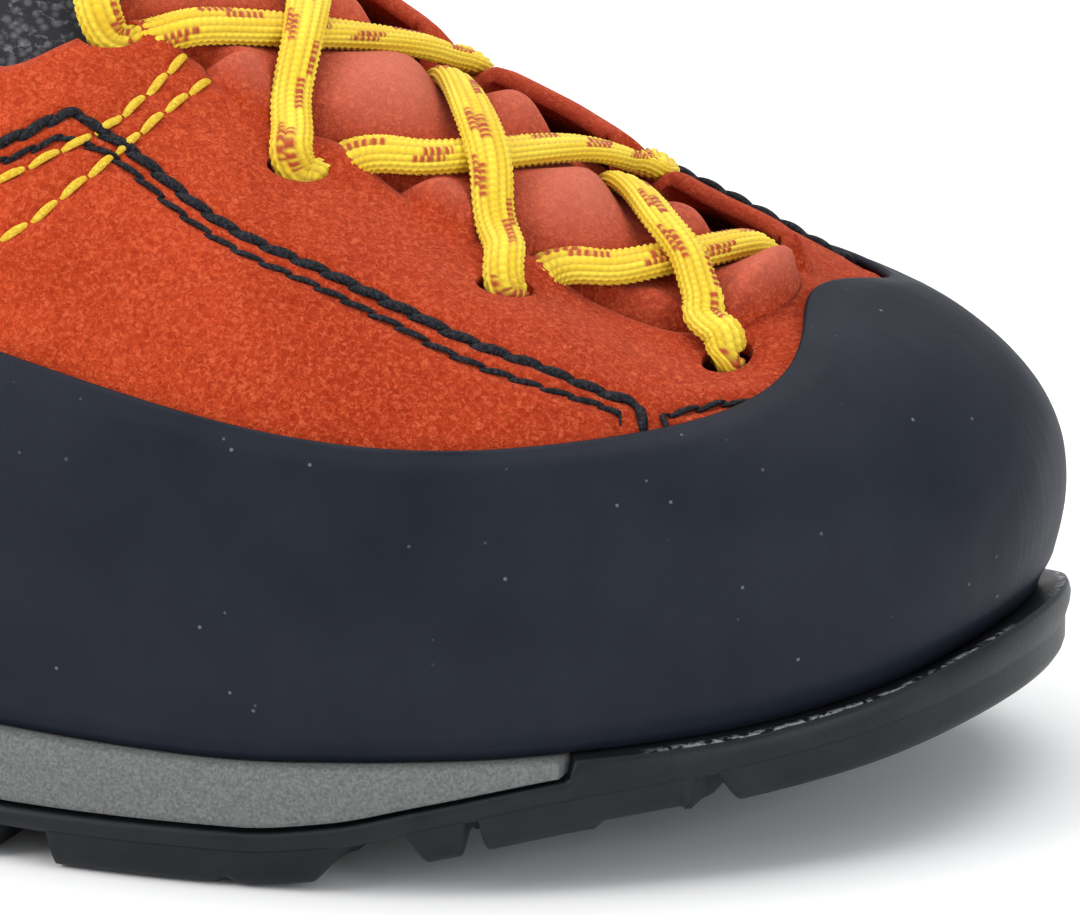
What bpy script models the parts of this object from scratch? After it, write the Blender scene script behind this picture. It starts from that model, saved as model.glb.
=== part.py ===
"""Approach shoe for the right foot, size 42, at its real size in metres.

+X points to the toe, -Y to the little toe and +Z up; the floor is z = 0.
"""
import math

import bmesh
import bpy
import numpy as np
from mathutils import Vector

# Driving sizes
SHOE_LENGTH = 0.292
BALL_WIDTH = 0.1075
INSTEP_HEIGHT = 0.109
HEEL_HEIGHT = 0.097
MEDIAL_LIFT = 0.0026
FOREFOOT_STACK = 0.015
HEEL_RISE = 0.013
UPPER_TOE_SPRING = 0.0085
SOLE_TOE_SPRING = 0.0140
ARCH_RISE = 0.0065
HEEL_BEVEL = 0.0050
OUTSOLE_DEPTH = 0.0068
LUG_DEPTH = 0.0040
LUG_DRAFT = 0.0009
LUG_BAND = 0.0150
LUG_ROOT = 0.0012
STUD_LENGTH = 0.0110
STUD_WIDTH = 0.0090
UPPER_WALL = 0.0020
RAND_WALL = 0.0017
RAND_EDGE = 0.0010
WELT = 0.0030
TOE_FLANGE = 0.0020
FIT_GAP = 0.0003
MIDSOLE_BULGE = 0.0009
SOLE_LEDGE_INSET = 0.0012
SOLE_STEP_INSET = 0.0008
SOLE_FLOOR_INSET = 0.0006
SOLE_LIP = 0.0012
LUG_INSET = 0.0012
ZONE_INSET = 0.0010
ZONE_DRAFT = 0.0012
INSOLE_THICKNESS = 0.0040
INSOLE_PLAY = 0.0015
TONGUE_THICKNESS = 0.0050
TONGUE_CROWN = 0.10
TONGUE_FREE_LENGTH = 0.0240
TONGUE_TAPER = 0.44
TONGUE_TUCK = 0.0054
COLLAR_PAD = 0.0055
COLLAR_ROLL = 0.0030
COLLAR_EDGE = 0.0012
SCALLOP_DEPTH = 0.026
NOTCH_DEPTH = 0.200
SLOT_LENGTH = 0.0085
SLOT_WIDTH = 0.0048
SLOT_SETBACK = 0.0058
LACE_WIDTH = 0.0050
LACE_THICKNESS = 0.0030
LACE_OVERLAP = 0.70
LACE_CLEARANCE = 0.0008
LACE_STEP = 0.0070

# Outline and throat, a row for each section from the toe to the heel.
# along and edge_along are shares of the length from the middle, the y values are shares of the
# ball width, edge_instep and edge_heel are shares of those heights, lift of the medial lift.
SECTIONS = (
    # along_lat, y_lat, along_med, y_med, edge_along, edge_y_lat, edge_y_med, edge_instep,
    # edge_heel, lift, fullness, end_angle, bulge_mm, flange
    (0.500, 0.130, 0.500, 0.130, 0.3990, 0.084, 0.084, 0.522, 0.000, 0.0, 2.60, 68.0, 4.4, 1.0),
    (0.490, -0.023, 0.491, 0.270, 0.3940, 0.023, 0.144, 0.517, 0.000, 0.5, 2.60, 68.0, 4.4, 0.9),
    (0.461, -0.158, 0.466, 0.363, 0.3767, -0.023, 0.181, 0.517, 0.000, 0.9, 2.65, 68.0, 4.3, 0.6),
    (0.414, -0.288, 0.423, 0.428, 0.3390, -0.056, 0.195, 0.547, 0.000, 1.0, 2.65, 70.0, 3.7, 0.3),
    (0.349, -0.405, 0.356, 0.470, 0.2842, -0.088, 0.195, 0.624, 0.000, 0.5, 2.50, 72.0, 3.0, 0.0),
    (0.267, -0.479, 0.274, 0.488, 0.2192, -0.116, 0.191, 0.711, 0.000, 0.1, 2.40, 66.0, 3.0, 0.0),
    (0.175, -0.512, 0.188, 0.465, 0.1473, -0.140, 0.191, 0.821, 0.000, 0.0, 2.30, 60.0, 3.0, 0.0),
    (0.075, -0.488, 0.092, 0.400, 0.0651, -0.158, 0.195, 0.927, 0.000, 0.0, 2.20, 56.0, 2.5, 0.0),
    (-0.027, -0.423, -0.014, 0.321, -0.0205, -0.186, 0.219, 1.000, 0.000, 0.0, 2.10, 50.0, 2.0, 0.0),
    (-0.137, -0.363, -0.130, 0.279, -0.1233, -0.265, 0.270, 0.459, 0.515, 0.4, 2.00, 45.0, 1.5, 0.0),
    (-0.257, -0.335, -0.257, 0.298, -0.2329, -0.307, 0.298, 0.000, 0.876, 0.4, 2.00, 45.0, 2.0, 0.0),
    (-0.363, -0.330, -0.363, 0.321, -0.3356, -0.298, 0.293, 0.000, 0.845, 0.4, 2.00, 45.0, 2.5, 0.0),
    (-0.442, -0.274, -0.442, 0.274, -0.4247, -0.233, 0.233, 0.000, 0.918, 0.0, 2.00, 45.0, 2.2, 0.0),
    (-0.488, -0.158, -0.488, 0.158, -0.4692, -0.126, 0.126, 0.000, 0.979, 0.0, 2.00, 45.0, 2.4, 0.0),
    (-0.500, 0.000, -0.500, 0.000, -0.4811, 0.000, 0.000, 0.000, 1.000, 0.0, 2.00, 45.0, 2.4, 0.0),
)

# Side view: shares of the heel rise, upper toe spring, sole toe spring, arch rise and heel bevel.
PROFILE = (
    # along, heel, upper_toe, sole_toe, arch, bevel
    (-0.500, 1.00, 0.00, 0.00, 0.00, 1.00),
    (-0.473, 0.99, 0.00, 0.00, 0.00, 0.40),
    (-0.438, 0.98, 0.00, 0.00, 0.00, 0.00),
    (-0.377, 0.96, 0.00, 0.00, 0.00, 0.00),
    (-0.240, 0.85, 0.00, 0.00, 0.00, 0.00),
    (-0.154, 0.72, 0.00, 0.00, 0.65, 0.00),
    (-0.068, 0.54, 0.00, 0.00, 1.00, 0.00),
    (0.017, 0.30, 0.00, 0.00, 0.70, 0.00),
    (0.096, 0.14, 0.00, 0.00, 0.12, 0.00),
    (0.171, 0.06, 0.00, 0.00, 0.00, 0.00),
    (0.260, 0.00, 0.00, 0.00, 0.00, 0.00),
    (0.294, 0.00, 0.04, 0.08, 0.00, 0.00),
    (0.329, 0.00, 0.10, 0.26, 0.00, 0.00),
    (0.377, 0.00, 0.18, 0.49, 0.00, 0.00),
    (0.425, 0.00, 0.28, 0.64, 0.00, 0.00),
    (0.466, 0.00, 0.53, 0.79, 0.00, 0.00),
    (0.500, 0.00, 1.00, 1.00, 0.00, 0.00),
)

# Top edge of the rubber rand, a share of the way up the upper at each section.
RAND_TOP_LATERAL = (0.968, 0.884, 0.750, 0.603, 0.470, 0.436, 0.439, 0.436, 0.405, 0.36, 0.33,
                    0.32, 0.33, 0.35, 0.36)
RAND_TOP_MEDIAL = (0.968, 0.940, 0.780, 0.640, 0.520, 0.460, 0.440, 0.410, 0.380, 0.35, 0.33,
                   0.32, 0.33, 0.35, 0.36)

# Rows of the mesh, as shares of the way up the rand and from its top to the suede's edge.
RAND_ROWS = (0.0, 0.26, 0.58, 0.90, 1.0)
SUEDE_ROWS = (0.27, 0.52, 0.77, 1.0)

# Lace stations from the toe, as shares of the length; the flex notch lies between two of them.
# Each slot lies a share of the setback behind its station, at a share of the way up the upper.
STATIONS = (0.388, 0.319, 0.240, 0.163, 0.046, -0.008)
SLOTS = ((0.50, 0.872), (0.96, 0.870), (0.90, 0.905), (0.85, 0.940), (1.00, 0.930), (1.00, 0.920))
NOTCH_BEHIND_STATION = 3

# Tread blocks along each edge as (front, back), shares of the length.
EDGE_LUGS = (
    (0.346, 0.319),
    (0.304, 0.180),
    (0.164, 0.120),
    (0.104, 0.060),
    (0.044, 0.006),
    (-0.215, -0.262),
    (-0.278, -0.330),
    (-0.346, -0.398),
    (-0.412, -0.455),
)
# Studs inside the edge lugs as (along, across), shares of the length and of the ball width.
STUDS = (
    (0.300, -0.16), (0.300, 0.04), (0.300, 0.24),
    (0.235, -0.22), (0.235, -0.02), (0.235, 0.18),
    (0.170, -0.20), (0.170, 0.00), (0.170, 0.18),
    (0.105, -0.18), (0.105, 0.04),
    (-0.250, -0.08), (-0.250, 0.08),
    (-0.315, -0.08), (-0.315, 0.08),
    (-0.380, -0.08), (-0.380, 0.08),
)
CLIMBING_ZONE_BACK = 0.347
MIDSOLE_FRONT = 0.3765
FRONT_GROOVES = (0.422, 0.386)
GROOVE_WIDTH = 0.0030
GROOVE_DEPTH = 0.0034

MATERIALS = {
    "rubber_black": ((0.020, 0.022, 0.027, 1.0), 0.45),
    "rubber_rand": ((0.018, 0.022, 0.027, 1.0), 0.50),
    "foam_grey": ((0.170, 0.165, 0.145, 1.0), 0.75),
    "suede_red": ((0.560, 0.060, 0.020, 1.0), 0.95),
    "mesh_grey": ((0.045, 0.047, 0.055, 1.0), 0.90),
    "lace_yellow": ((0.830, 0.600, 0.020, 1.0), 0.80),
    "insole_grey": ((0.060, 0.060, 0.065, 1.0), 0.90),
}

LAST_ROW = len(SECTIONS) - 1
RING = 2 * LAST_ROW
UPWARD = np.array([0.35, 0.0, 0.94])
FREE_END_LEAN = np.array([-0.58, 0.0, 0.81])


def fresh_scene():
    for item in list(bpy.data.objects):
        bpy.data.objects.remove(item, do_unlink=True)


def new_collection(name):
    collection = bpy.data.collections.new(name)
    bpy.context.scene.collection.children.link(collection)
    return collection


def make_materials():
    made = {}
    for name, (colour, roughness) in MATERIALS.items():
        material = bpy.data.materials.new(name)
        material.use_nodes = True
        shader = material.node_tree.nodes["Principled BSDF"]
        shader.inputs["Base Color"].default_value = colour
        shader.inputs["Roughness"].default_value = roughness
        shader.inputs["Metallic"].default_value = 0.0
        made[name] = material
    return made


# The last: closed curves round the shoe, from the toe down the little-toe side to the heel and back
def ring_values(lateral, medial):
    return np.concatenate([lateral, medial[-2:0:-1]])


def closed_curve(values):
    """Smooth closed curve through equally spaced values; the parameter is the row number."""
    count = len(values)
    system = 4.0 * np.eye(count) + np.roll(np.eye(count), 1, 0) + np.roll(np.eye(count), -1, 0)
    slopes = np.linalg.solve(system, 3.0 * (np.roll(values, -1) - np.roll(values, 1)))

    def read(q):
        q = np.mod(np.asarray(q, float), count)
        start = np.floor(q).astype(int) % count
        end = (start + 1) % count
        u = q - np.floor(q)
        rise = values[end] - values[start]
        square = (3.0 * rise - 2.0 * slopes[start] - slopes[end]) * u ** 2
        cube = (slopes[start] + slopes[end] - 2.0 * rise) * u ** 3
        return values[start] + slopes[start] * u + square + cube

    return read


def open_curve(along, values):
    """Smooth open curve that never overshoots its values; it reads a value at a place."""
    along = np.asarray(along, float)
    values = np.asarray(values, float)
    steps = np.diff(values) / np.diff(along)
    product = steps[1:] * steps[:-1]
    total = np.where(np.abs(steps[1:] + steps[:-1]) > 0.0, steps[1:] + steps[:-1], 1.0)
    inner = np.where(product > 0.0, 2.0 * product / total, 0.0)
    slopes = np.concatenate([steps[:1], inner, steps[-1:]])

    def read(x):
        x = np.clip(x, along[0], along[-1])
        start = np.clip(np.searchsorted(along, x) - 1, 0, len(along) - 2)
        span = along[start + 1] - along[start]
        u = (x - along[start]) / span
        keep = (1.0 + 2.0 * u) * (1.0 - u) ** 2 * values[start]
        reach = u * u * (3.0 - 2.0 * u) * values[start + 1]
        lean = u * (1.0 - u) ** 2 * span * slopes[start]
        return keep + reach + lean + u * u * (u - 1.0) * span * slopes[start + 1]

    return read


def columns(table):
    return [np.array(column, float) for column in zip(*table)]


(ALONG_LAT, Y_LAT, ALONG_MED, Y_MED, EDGE_ALONG, EDGE_Y_LAT, EDGE_Y_MED, EDGE_INSTEP, EDGE_HEEL,
 LIFT, FULLNESS, END_ANGLE, BULGE, FLANGE) = columns(SECTIONS)
EDGE_Z = EDGE_INSTEP * INSTEP_HEIGHT + EDGE_HEEL * HEEL_HEIGHT

outline_x = closed_curve(ring_values(ALONG_LAT, ALONG_MED) * SHOE_LENGTH)
outline_y = closed_curve(ring_values(Y_LAT, Y_MED) * BALL_WIDTH)
edge_x = closed_curve(ring_values(EDGE_ALONG, EDGE_ALONG) * SHOE_LENGTH)
edge_y = closed_curve(ring_values(EDGE_Y_LAT, EDGE_Y_MED) * BALL_WIDTH)
edge_z = closed_curve(ring_values(EDGE_Z, EDGE_Z + LIFT * MEDIAL_LIFT))
fullness = closed_curve(ring_values(FULLNESS, FULLNESS))
end_angle = closed_curve(ring_values(END_ANGLE, END_ANGLE))
bulge = closed_curve(ring_values(BULGE, BULGE) * 0.001)
flange = closed_curve(ring_values(FLANGE, FLANGE) * TOE_FLANGE)
rand_top = closed_curve(ring_values(np.array(RAND_TOP_LATERAL), np.array(RAND_TOP_MEDIAL)))

SIDE_ALONG, SIDE_HEEL, SIDE_UPPER_TOE, SIDE_SOLE_TOE, SIDE_ARCH, SIDE_BEVEL = columns(PROFILE)
feather_z = open_curve(SIDE_ALONG * SHOE_LENGTH,
                       FOREFOOT_STACK + SIDE_HEEL * HEEL_RISE + SIDE_UPPER_TOE * UPPER_TOE_SPRING)
ground_z = open_curve(SIDE_ALONG * SHOE_LENGTH,
                      SIDE_SOLE_TOE * SOLE_TOE_SPRING + SIDE_ARCH * ARCH_RISE
                      + SIDE_BEVEL * HEEL_BEVEL)


def outward(q):
    """Unit vector out of the outline in plan."""
    step = 1e-3
    run_x = outline_x(q + step) - outline_x(q - step)
    run_y = outline_y(q + step) - outline_y(q - step)
    size = np.hypot(run_x, run_y)
    return run_y / size * -1.0, run_x / size


def outline(q, inset):
    """Point of the sole's outline in plan, moved in by an inset."""
    out_x, out_y = outward(q)
    return outline_x(q) - inset * out_x, outline_y(q) - inset * out_y


def last(q, t):
    """Point on the outside of the upper: q runs round the shoe, t from the feather to the edge."""
    q, t = np.broadcast_arrays(np.asarray(q, float), np.asarray(t, float))
    low_x, low_y = outline(q, WELT + flange(q))
    low_z = feather_z(low_x)
    power = 2.0 / fullness(q)
    end = np.radians(end_angle(q))
    angle = t * end
    across = (1.0 - np.cos(angle) ** power) / (1.0 - np.cos(end) ** power)
    up = (np.sin(angle) / np.sin(end)) ** power
    out_x, out_y = outward(q)
    swell = bulge(q) * np.sin(np.pi * t ** 0.75) ** 1.2
    x = low_x + (edge_x(q) - low_x) * across + out_x * swell
    y = low_y + (edge_y(q) - low_y) * across + out_y * swell
    z = low_z + (edge_z(q) - low_z) * up
    return np.stack([x, y, z], -1)


def last_normal(q, t):
    step = 2e-3
    low = np.clip(t - step, 0.001, 1.0)
    high = np.clip(t + step, 0.001, 1.0)
    around = last(q + step, np.clip(t, 0.001, 1.0)) - last(q - step, np.clip(t, 0.001, 1.0))
    rise = last(q, high) - last(q, low)
    normal = np.cross(rise, around)
    return normal / np.linalg.norm(normal, axis=-1, keepdims=True)


def offset_last(q, t, offset):
    """Point at a distance from the upper's outside; at the feather it stays level."""
    normal = last_normal(q, t)
    flat = np.clip(1.0 - np.asarray(t) / 0.06, 0.0, 1.0)[..., None]
    level = normal * np.array([1.0, 1.0, 0.0])
    level = level / np.linalg.norm(level, axis=-1, keepdims=True)
    normal = normal * (1.0 - flat) + level * flat
    base = last(q, t)
    moved = base + normal * np.asarray(offset)[..., None]
    moved[..., 2] += flat[..., 0] * (feather_z(moved[..., 0]) - feather_z(base[..., 0]))
    return moved


def side_row(x, medial):
    """Row number q at which one side's outline is at x."""
    rows = np.linspace(0.0, LAST_ROW, 561)
    places = outline_x(RING - rows if medial else rows)
    q = np.interp(-x, -places, rows)
    return RING - q if medial else q


def edge_row(x, medial):
    """Row number q at which the throat edge is at x."""
    rows = np.linspace(0.0, LAST_ROW, 561)
    places = edge_x(RING - rows if medial else rows)
    q = np.interp(-x, -np.minimum.accumulate(places), rows)
    return RING - q if medial else q


STATION_ROWS = [float(edge_row(share * SHOE_LENGTH, False)) for share in STATIONS]


def edge_height(q):
    """How far up the last the upper reaches: scallops between stations and the flex notch."""
    q = np.mod(np.asarray(q, float), RING)
    row = np.minimum(q, RING - q)
    height = np.ones_like(row)
    for number, (front, back) in enumerate(zip(STATION_ROWS[:-1], STATION_ROWS[1:])):
        share = np.clip((row - front) / (back - front), 0.0, 1.0)
        depth = NOTCH_DEPTH if number == NOTCH_BEHIND_STATION else SCALLOP_DEPTH
        height = height - depth * np.sin(np.pi * share) ** 2
    return height


def ring_columns(per_station, per_row):
    """Columns round the shoe that fall on the lace stations."""
    marks = [0.0] + STATION_ROWS
    side = []
    for number, (front, back) in enumerate(zip(marks[:-1], marks[1:])):
        parts = 2 * per_station if number == NOTCH_BEHIND_STATION + 1 else per_station
        side += list(np.linspace(front, back, parts, endpoint=False))
    rear = np.linspace(marks[-1], LAST_ROW, int(per_row * (LAST_ROW - marks[-1])) + 1)
    side += list(rear)
    side = np.array(side)
    return np.concatenate([side, RING - side[-2:0:-1]])


# Mesh building
def grid_faces(rows, cols, start, wrap, flip):
    faces = []
    for row in range(rows - 1):
        for col in range(cols if wrap else cols - 1):
            after = (col + 1) % cols
            face = (start + row * cols + col, start + row * cols + after,
                    start + (row + 1) * cols + after, start + (row + 1) * cols + col)
            faces.append(face[::-1] if flip else face)
    return faces


def rim_of(rows, cols):
    """Indices round the border of an open grid."""
    first = [(0, col) for col in range(cols)]
    right = [(row, cols - 1) for row in range(1, rows)]
    back = [(rows - 1, col) for col in range(cols - 2, -1, -1)]
    left = [(row, 0) for row in range(rows - 2, 0, -1)]
    return [row * cols + col for row, col in first + right + back + left]


def finish_mesh(bm, name, collection, material, sharp=40.0):
    bmesh.ops.remove_doubles(bm, verts=bm.verts, dist=2e-6)
    bmesh.ops.dissolve_degenerate(bm, edges=bm.edges, dist=1e-6)
    bmesh.ops.triangulate(bm, faces=bm.faces)
    bmesh.ops.recalc_face_normals(bm, faces=bm.faces)
    mesh = bpy.data.meshes.new(name)
    bm.to_mesh(mesh)
    bm.free()
    mesh.shade_smooth()
    mesh.set_sharp_from_angle(angle=math.radians(sharp))
    item = bpy.data.objects.new(name, mesh)
    collection.objects.link(item)
    if material:
        mesh.materials.append(material)
    return item


def add_faces(bm, points, faces):
    verts = [bm.verts.new(point) for point in points]
    for face in faces:
        corners = list(dict.fromkeys(face))
        if len(corners) > 2:
            bm.faces.new([verts[index] for index in corners])


def band(name, outer, inner, collection, material):
    """Closed ring of wall between an outer and an inner grid whose columns wrap round."""
    rows, cols = outer.shape[:2]
    count = rows * cols
    points = np.concatenate([outer.reshape(-1, 3), inner.reshape(-1, 3)])
    faces = grid_faces(rows, cols, 0, True, False) + grid_faces(rows, cols, count, True, True)
    for col in range(cols):
        after = (col + 1) % cols
        faces.append((after, col, count + col, count + after))
        top = (rows - 1) * cols
        faces.append((top + col, top + after, count + top + after, count + top + col))
    bm = bmesh.new()
    add_faces(bm, points, faces)
    return finish_mesh(bm, name, collection, material)


def layered(name, layers, collection, material, sharp=40.0):
    """Closed body from open grids of one size: the first and last are its faces, all give rims."""
    rows, cols = layers[0].shape[:2]
    count = rows * cols
    points = np.concatenate([layer.reshape(-1, 3) for layer in layers])
    faces = grid_faces(rows, cols, 0, False, False)
    faces += grid_faces(rows, cols, (len(layers) - 1) * count, False, True)
    rim = rim_of(rows, cols)
    for level in range(len(layers) - 1):
        low = level * count
        high = low + count
        for number, index in enumerate(rim):
            after = rim[(number + 1) % len(rim)]
            faces.append((low + after, low + index, high + index, high + after))
    bm = bmesh.new()
    add_faces(bm, points, faces)
    return finish_mesh(bm, name, collection, material, sharp)


def cross_grid(rows, inset, height, across):
    """Grid that lies across the sole between its two sides, at a height that follows x."""
    lat_x, lat_y = outline(rows, inset)
    med_x, med_y = outline(RING - rows, inset)
    share = np.linspace(0.0, 1.0, across)[None, :]
    x = lat_x[:, None] + (med_x - lat_x)[:, None] * share
    y = lat_y[:, None] + (med_y - lat_y)[:, None] * share
    return np.stack([x, y, height(x)], -1)


def cut_or_join(target, tool, operation):
    modifier = target.modifiers.new(operation.lower(), "BOOLEAN")
    modifier.operation = operation
    modifier.object = tool
    tool.hide_render = True
    tool.display_type = "WIRE"


# Sole
def full_rows():
    fine = np.linspace(0.0, 4.0, 17)
    return np.concatenate([fine, np.linspace(4.0, LAST_ROW, 27)[1:]])


def sole_top(x):
    return feather_z(x) - FIT_GAP


def midsole_bottom(x):
    return ground_z(x) + OUTSOLE_DEPTH + FIT_GAP


def midsole_middle(x):
    return 0.5 * (sole_top(x) + midsole_bottom(x))


def outsole_top(x):
    return ground_z(x) + OUTSOLE_DEPTH


def outsole_lip(x):
    return ground_z(x) + OUTSOLE_DEPTH - SOLE_LIP


def tread_base(x):
    return ground_z(x) + LUG_DEPTH


def lug_root(x):
    return ground_z(x) + LUG_DEPTH + LUG_ROOT


def insole_top(x):
    return feather_z(x) + INSOLE_THICKNESS


def make_midsole(parts, materials):
    front = float(side_row(MIDSOLE_FRONT * SHOE_LENGTH, False))
    rows = np.concatenate([[front], full_rows()[full_rows() > front + 0.1]])
    layers = [cross_grid(rows, MIDSOLE_BULGE, sole_top, 5),
              cross_grid(rows, 0.0, midsole_middle, 5),
              cross_grid(rows, MIDSOLE_BULGE, midsole_bottom, 5)]
    return layered("midsole", layers, parts, materials["foam_grey"])


def lug_block(front, back, medial):
    """Tread block between two places along one edge of the sole."""
    q_front = float(side_row(front * SHOE_LENGTH, medial))
    q_back = float(side_row(back * SHOE_LENGTH, medial))
    steps = max(2, int(abs(q_back - q_front) / 0.35) + 1)
    layers = []
    for draft, rise in ((0.0, LUG_DEPTH + LUG_ROOT), (LUG_DRAFT, 0.0)):
        shift = draft / SHOE_LENGTH * LAST_ROW * (1.0 if q_back > q_front else -1.0)
        rows = np.linspace(q_front + shift, q_back - shift, steps)
        edge = [outline(rows, inset) for inset in (LUG_INSET + draft, LUG_INSET + LUG_BAND - draft)]
        grid = np.stack([np.stack([x, y, ground_z(x) + rise], -1) for x, y in edge], 1)
        layers.append(grid)
    return layers


def stud_block(along, across):
    x, y = along * SHOE_LENGTH, across * BALL_WIDTH
    layers = []
    for draft, rise in ((0.0, LUG_DEPTH + LUG_ROOT), (LUG_DRAFT, 0.0)):
        half_x, half_y = STUD_LENGTH / 2 - draft, STUD_WIDTH / 2 - draft
        grid = np.empty((2, 2, 3))
        for row, sign_x in enumerate((1.0, -1.0)):
            for col, sign_y in enumerate((-1.0, 1.0)):
                place = x + sign_x * half_x
                grid[row, col] = (place, y + sign_y * half_y, ground_z(place) + rise)
        layers.append(grid)
    return layers


def make_outsole(parts, cutters, materials):
    rows = full_rows()
    step_row = float(side_row(MIDSOLE_FRONT * SHOE_LENGTH, False)) - 0.06
    behind = rows[rows > step_row + 0.15]
    ahead = rows[rows < step_row - 0.1]
    rows = np.concatenate([ahead, [step_row - 0.02, step_row + 0.02], behind])
    step_x = outline_x(step_row)
    tops = np.where(outline_x(rows) > step_x, 1.0, 0.0)[:, None]
    high = cross_grid(rows, SOLE_LEDGE_INSET, sole_top, 5)
    low = cross_grid(rows, SOLE_STEP_INSET, outsole_top, 5)
    top = high * tops[..., None] + low * (1.0 - tops[..., None])
    middle = cross_grid(rows, 0.0, outsole_lip, 5)
    bottom = cross_grid(rows, SOLE_FLOOR_INSET, tread_base, 5)
    base = layered("outsole", [top, middle, bottom], parts, materials["rubber_black"], 30.0)

    tread = bmesh.new()
    blocks = [lug_block(front, back, medial)
              for front, back in EDGE_LUGS for medial in (False, True)]
    blocks += [stud_block(along, across) for along, across in STUDS]
    zone_row = float(side_row(CLIMBING_ZONE_BACK * SHOE_LENGTH, False))
    zone_rows = np.linspace(0.0, zone_row, 17)
    blocks.append([cross_grid(zone_rows, ZONE_INSET, lug_root, 3),
                   cross_grid(zone_rows, ZONE_INSET + ZONE_DRAFT, ground_z, 3)])
    for layers in blocks:
        block = layered("tread_piece", layers, cutters, None)
        tread.from_mesh(block.data)
        bpy.data.objects.remove(block, do_unlink=True)
    tread_item = finish_mesh(tread, "tread_blocks", cutters, None)
    cut_or_join(base, tread_item, "UNION")

    groove = bmesh.new()
    for share in FRONT_GROOVES:
        place = share * SHOE_LENGTH
        middle = Vector((place, 0.0, float(ground_z(place)) + 0.5 * (GROOVE_DEPTH - LUG_DEPTH)))
        size = Vector((GROOVE_WIDTH, 2.0 * BALL_WIDTH, GROOVE_DEPTH + LUG_DEPTH))
        for vert in bmesh.ops.create_cube(groove, size=1.0)["verts"]:
            vert.co = middle + vert.co * size
    groove_item = finish_mesh(groove, "front_grooves", cutters, None)
    cut_or_join(base, groove_item, "DIFFERENCE")
    return base


def make_insole(parts, materials):
    rows = np.linspace(0.0, LAST_ROW, 25)
    inset = WELT + UPPER_WALL + TOE_FLANGE + INSOLE_PLAY
    layers = [cross_grid(rows, inset, insole_top, 4),
              cross_grid(rows, inset, feather_z, 4)]
    return layered("insole", layers, parts, materials["insole_grey"])


# Upper
def make_upper(parts, cutters, materials):
    q = ring_columns(4, 2.0)
    q_grid, share_grid = np.meshgrid(q, np.array(RAND_ROWS))
    low_grid = share_grid * rand_top(q_grid)
    q_high, share_high = np.meshgrid(q, np.array(SUEDE_ROWS))
    high_grid = suede_height(q_high, share_high)
    q_grid = np.concatenate([q_grid, q_high], 0)
    t_grid = np.concatenate([low_grid, high_grid], 0)
    outer = offset_last(q_grid, t_grid, np.zeros_like(t_grid))
    inner = offset_last(q_grid, t_grid, np.full_like(t_grid, -UPPER_WALL))
    upper = band("upper", outer, inner, parts, materials["suede_red"])
    cut_or_join(upper, slot_cutter(cutters), "DIFFERENCE")
    return upper


def frame_at(q, t):
    """Point on the upper with its directions along the edge, up the section and outwards."""
    point = Vector(last(q, t))
    normal = Vector(last_normal(q, t)).normalized()
    around = Vector(last(q + 0.05, t) - last(q - 0.05, t)).normalized()
    rise = normal.cross(around).normalized()
    return point, around, rise, normal


def slot_row(number):
    """Row number of a lace slot on the little-toe side."""
    place = STATIONS[number] * SHOE_LENGTH - SLOTS[number][0] * SLOT_SETBACK
    return float(edge_row(place, False))


def slot_places():
    for number, (_, height) in enumerate(SLOTS):
        for q in (slot_row(number), RING - slot_row(number)):
            yield q, height


def slot_cutter(cutters):
    bm = bmesh.new()
    for q, t in slot_places():
        point, around, rise, normal = frame_at(q, t)
        made = bmesh.ops.create_cone(bm, cap_ends=True, segments=8, radius1=0.5, radius2=0.5,
                                     depth=6.0 * UPPER_WALL)["verts"]
        for vert in made:
            local = vert.co.copy()
            vert.co = (point + around * local.x * SLOT_LENGTH + rise * local.y * SLOT_WIDTH
                       + normal * local.z)
    return finish_mesh(bm, "lace_slots", cutters, None)


def make_rand(parts, materials):
    q = ring_columns(4, 2.0)
    q_grid, share_grid = np.meshgrid(q, np.array(RAND_ROWS))
    t_grid = share_grid * rand_top(q_grid)
    wall = np.where(share_grid > 0.99, RAND_EDGE, RAND_WALL)
    outer = offset_last(q_grid, t_grid, FIT_GAP + wall)
    inner = offset_last(q_grid, t_grid, np.full_like(t_grid, FIT_GAP))
    return band("rand", outer, inner, parts, materials["rubber_rand"])


def suede_height(q, share):
    """How far up the last a share of the way from the rand's top to the suede's edge lies."""
    return rand_top(q) + (edge_height(q) - rand_top(q)) * share


def side_columns():
    columns_all = ring_columns(4, 2.0)
    return columns_all[:len(columns_all) // 2 + 1]


def make_collar_pad(parts, materials):
    front = STATION_ROWS[-1] + 0.75
    side = side_columns()
    side = side[side > front]
    rows = np.concatenate([side, RING - side[-2::-1]])
    q_grid, share_grid = np.meshgrid(rows, np.array(SUEDE_ROWS[1:]), indexing="ij")
    t_grid = suede_height(q_grid, share_grid)
    ends = np.sin(np.pi * (q_grid - front) / (RING - 2.0 * front)) ** 0.35
    swell = COLLAR_PAD * np.sin(np.pi * (share_grid - 0.35) / 0.75) * ends
    gap = UPPER_WALL + FIT_GAP
    outer = offset_last(q_grid, t_grid, np.full_like(t_grid, -gap))
    inner = offset_last(q_grid, t_grid, -(gap + COLLAR_EDGE + swell))
    up = np.array([0.0, 0.0, 1.0])
    crest = offset_last(q_grid[:, -1], t_grid[:, -1], -(gap + 0.3 * COLLAR_PAD * ends[:, -1]))
    back = offset_last(q_grid[:, -1], t_grid[:, -1], -(gap + COLLAR_EDGE + 0.8 * swell[:, -1]))
    outer = np.concatenate([outer, (crest + up * COLLAR_ROLL)[:, None]], 1)
    inner = np.concatenate([inner, (back + up * 0.75 * COLLAR_ROLL)[:, None]], 1)
    return layered("collar_pad", [outer, inner], parts, materials["mesh_grey"])


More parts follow.
